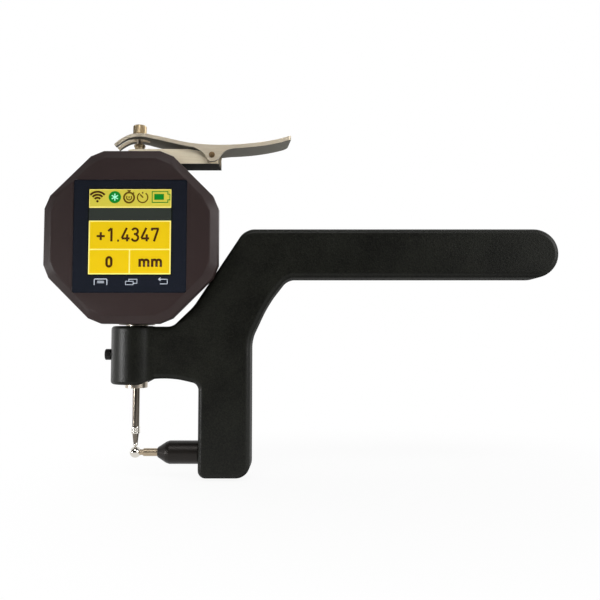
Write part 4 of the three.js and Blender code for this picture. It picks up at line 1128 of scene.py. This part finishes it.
# %% Touch symbols
menu = [(0.32, [(-12.1, 57.2)] + arc(-11.7, 58.9, 0.4, 180, 90, 4)
         + arc(-8.1, 58.9, 0.4, 90, 0, 4) + [(-7.7, 57.2)]),
        (0.26, [(-11.1, 58.5), (-8.7, 58.5)]), (0.26, [(-11.1, 58.0), (-8.7, 58.0)])]
front_sheet = [(-1.25, 57.3), (-1.25, 58.5), (1.4, 58.5), (1.4, 57.3), (-1.25, 57.3)]
windows = [(0.3, front_sheet), (0.3, [(-0.1, 58.6), (-0.1, 59.2), (2.7, 59.2), (2.7, 57.8),
                                      (1.5, 57.8)])]
back = [(0.3, [(10.2, 59.2), (13.2, 59.2), (13.2, 57.6), (10.7, 57.6)]),
        (0.28, [(10.9, 59.75), (10.15, 59.2), (10.9, 58.65)])]
strokes("touch_symbols", 1, touch_grey, menu + windows + back)

# %% [markdown]
# ## Parts inside the case
#
# These are never seen while the case is shut, but they are the works of the gauge, and they
# show if it is taken apart. They keep their CAD shapes and each gets its proper finish.

# %% Finishes of the inner parts
INNER = {
    "stem_clamp_pad": brass, "display_gasket": rubber, "display_panel": screen_yellow,
    "main_board": solder_mask, "board_screw_left": steel, "board_screw_right": steel,
    "battery": cell_foil, "reading_head": case_black, "guide_rail": acetal,
    "stem_nut": steel, "lower_bush": brass, "spindle": steel, "scale_carrier": nickel,
    "glass_scale": scale_glass, "guide_pin": steel,
}
for node, material in INNER.items():
    part = frame["nodes"][node]
    part.data.materials.clear()
    part.data.materials.append(material)
print(f"{len(INNER)} inner parts finished")

# %% [markdown]
# ## The floor
#
# The photograph is taken in front of pure white with no horizon. The floor is a pale disc under
# the leg. Seen by the camera it is mostly white, and more so further out, so its edge melts
# into the white of the world, while near the gauge it keeps the soft shadow.

# %% Floor
FLOOR_RADIUS = 2.5
FLOOR_GAP = 0.0002
FLOOR_HEIGHT = cad_low.z - FLOOR_GAP
floor_shape = bmesh.new()
bmesh.ops.create_circle(floor_shape, segments=96, radius=FLOOR_RADIUS, cap_ends=True,
                        matrix=Matrix.Translation((0, 0, FLOOR_HEIGHT)))
floor = put("floor", as_mesh(floor_shape, "floor"))
print(f"floor {-FLOOR_HEIGHT / MM:.1f} mm below the grip")

# %% Floor paper
SHADOW_REACH, WHITE_REACH = 0.08, 0.18


def seen(graph):
    """1 for rays that look straight, in a mirror or through glass, 0 for the rest."""
    rays = [graph.add("ShaderNodeLightPath", output=f"Is {kind} Ray")
            for kind in ("Camera", "Glossy", "Transmission")]
    return (rays[0] + rays[1] + rays[2]).math("MINIMUM", 1)


floor_paper, paper, paper_shader = new_material("floor paper")
floor.data.materials.append(floor_paper)
distance = paper.add("ShaderNodeVectorMath", {"operation": "LENGTH"}, {0: paper.place()},
                     output="Value")
white_share = paper.add("ShaderNodeMapRange", {"interpolation_type": "SMOOTHSTEP"},
                        {0: distance, 1: SHADOW_REACH, 2: WHITE_REACH, 3: 0.9, 4: 1.0})
plain = paper.add("ShaderNodeBsdfDiffuse", None, {"Color": (0.93, 0.93, 0.93, 1)})
bright = paper.add("ShaderNodeEmission", None, {"Color": (1, 1, 1, 1), "Strength": 1.0})
mixed = paper.add("ShaderNodeMixShader", None,
                  {0: white_share * seen(paper), 1: plain, 2: bright})
paper.feed(paper.tree.nodes["Material Output"].inputs["Surface"], mixed)
paper.tree.nodes.remove(paper_shader)
print(f"the floor is all white {WHITE_REACH / MM:.0f} mm from the grip")

# %% [markdown]
# ## A dark curtain
#
# Black surfaces mirror the room, and a white room turns them grey. A photographer hangs black
# cloth outside the picture. Here a dark curtain lies on the floor in front, rises behind the
# camera and closes over the top like half a tent. The camera sees through it, but surfaces that
# face the camera reflect it and stay black.

# %% Dark curtain
curtain_shape = bmesh.new()
hang = [(0.17, cad_low.z + 0.004), (0.8, cad_low.z + 0.01), (1.1, 0.0), (1.25, 0.25),
        (1.25, 0.8), (0.9, 1.1), (0, 1.15)]
start = Matrix.Rotation(radians(190), 4, "Z")
pole = [curtain_shape.verts.new(start @ Vector((reach, 0, height))) for reach, height in hang]
pole += [curtain_shape.edges.new(pair) for pair in zip(pole, pole[1:])]
bmesh.ops.spin(curtain_shape, geom=pole, cent=(0, 0, 0), axis=(0, 0, 1), angle=radians(155),
               steps=40)
curtain = put("curtain", as_mesh(curtain_shape, "curtain"))
curtain.visible_camera = False
cloth, weave, cloth_shader = new_material("dark curtain")
curtain.data.materials.append(cloth)
weave.feed(cloth_shader.inputs["Base Color"],
           weave.blend(weave.noise(40), (0.03, 0.03, 0.03, 1), (0.05, 0.05, 0.05, 1)))
cloth_shader.inputs["Roughness"].default_value = 0.9
print(f"curtain of {len(curtain.data.polygons)} panels")

# %% [markdown]
# ## World and lamps
#
# The world is white where it is seen or mirrored and dimmer where it lights the gauge, so that
# the lamps can give the shape. Soft lamps stand on the right and above the camera. Two with a
# narrow beam come from the left: one draws the bright line down the boss, one lights the
# bracket. A weak one behind them on the left picks out the edges.

# %% World
AMBIENT = 0.55
world = bpy.data.worlds.new("studio")
bpy.context.scene.world = world
world.use_nodes = True
sky = Graph(world.node_tree)
background = world.node_tree.nodes["Background"]
sky.feed(background.inputs["Strength"], AMBIENT + (1 - AMBIENT) * seen(sky))
background.inputs["Color"].default_value = (1, 1, 1, 1)
print(f"the world lights the gauge with {AMBIENT} of the white that the camera sees")

# %% Lamps
LAMPS = [
    ("right", (0.58, -0.4, 0.22), (-0.07, 0, 0.02), (0.35, 0.4), 4.0, 180),
    ("front right", (0.46, -0.85, 0.08), (0.03, 0, 0), (0.3, 0.3), 0.3, 180),
    ("strip on the left", (-0.64, -0.35, -0.045), (-0.107, 0, -0.036), (0.07, 0.07), 0.02, 12),
    ("left, on the bracket", (-0.5, -0.55, 0.09), (-0.088, 0, 0.034), (0.12, 0.12), 0.004, 10),
    ("left, from behind", (-0.62, 0.32, -0.05), (-0.1, 0, -0.04), (0.22, 0.24), 0.3, 180),
    ("above the camera", (-0.05, -0.7, 0.8), (0, 0, 0), (0.7, 0.35), 4.0, 180),
]
for name, place, aim, (width, height), watts, beam in LAMPS:
    lamp = bpy.data.lights.new(name, "AREA")
    lamp.shape = "RECTANGLE"
    lamp.spread = radians(beam)
    lamp.size, lamp.size_y = width, height
    lamp.energy = watts
    softbox = put(name, lamp)
    softbox.location = place
    softbox.rotation_euler = (Vector(aim) - Vector(place)).to_track_quat("-Z", "Y").to_euler()
    print(f"lamp {name}: {watts} W, beam of {beam} degrees")

# %% [markdown]
# ## Colours as they are, and the sizes
#
# Standard shows a colour as it is written, without a film look. The last line prints the CAD
# box, as dressing must not change the gauge's size.

# %% Colours and the CAD box
bpy.context.scene.view_settings.view_transform = "Standard"
print("CAD box", cad_low, cad_high)
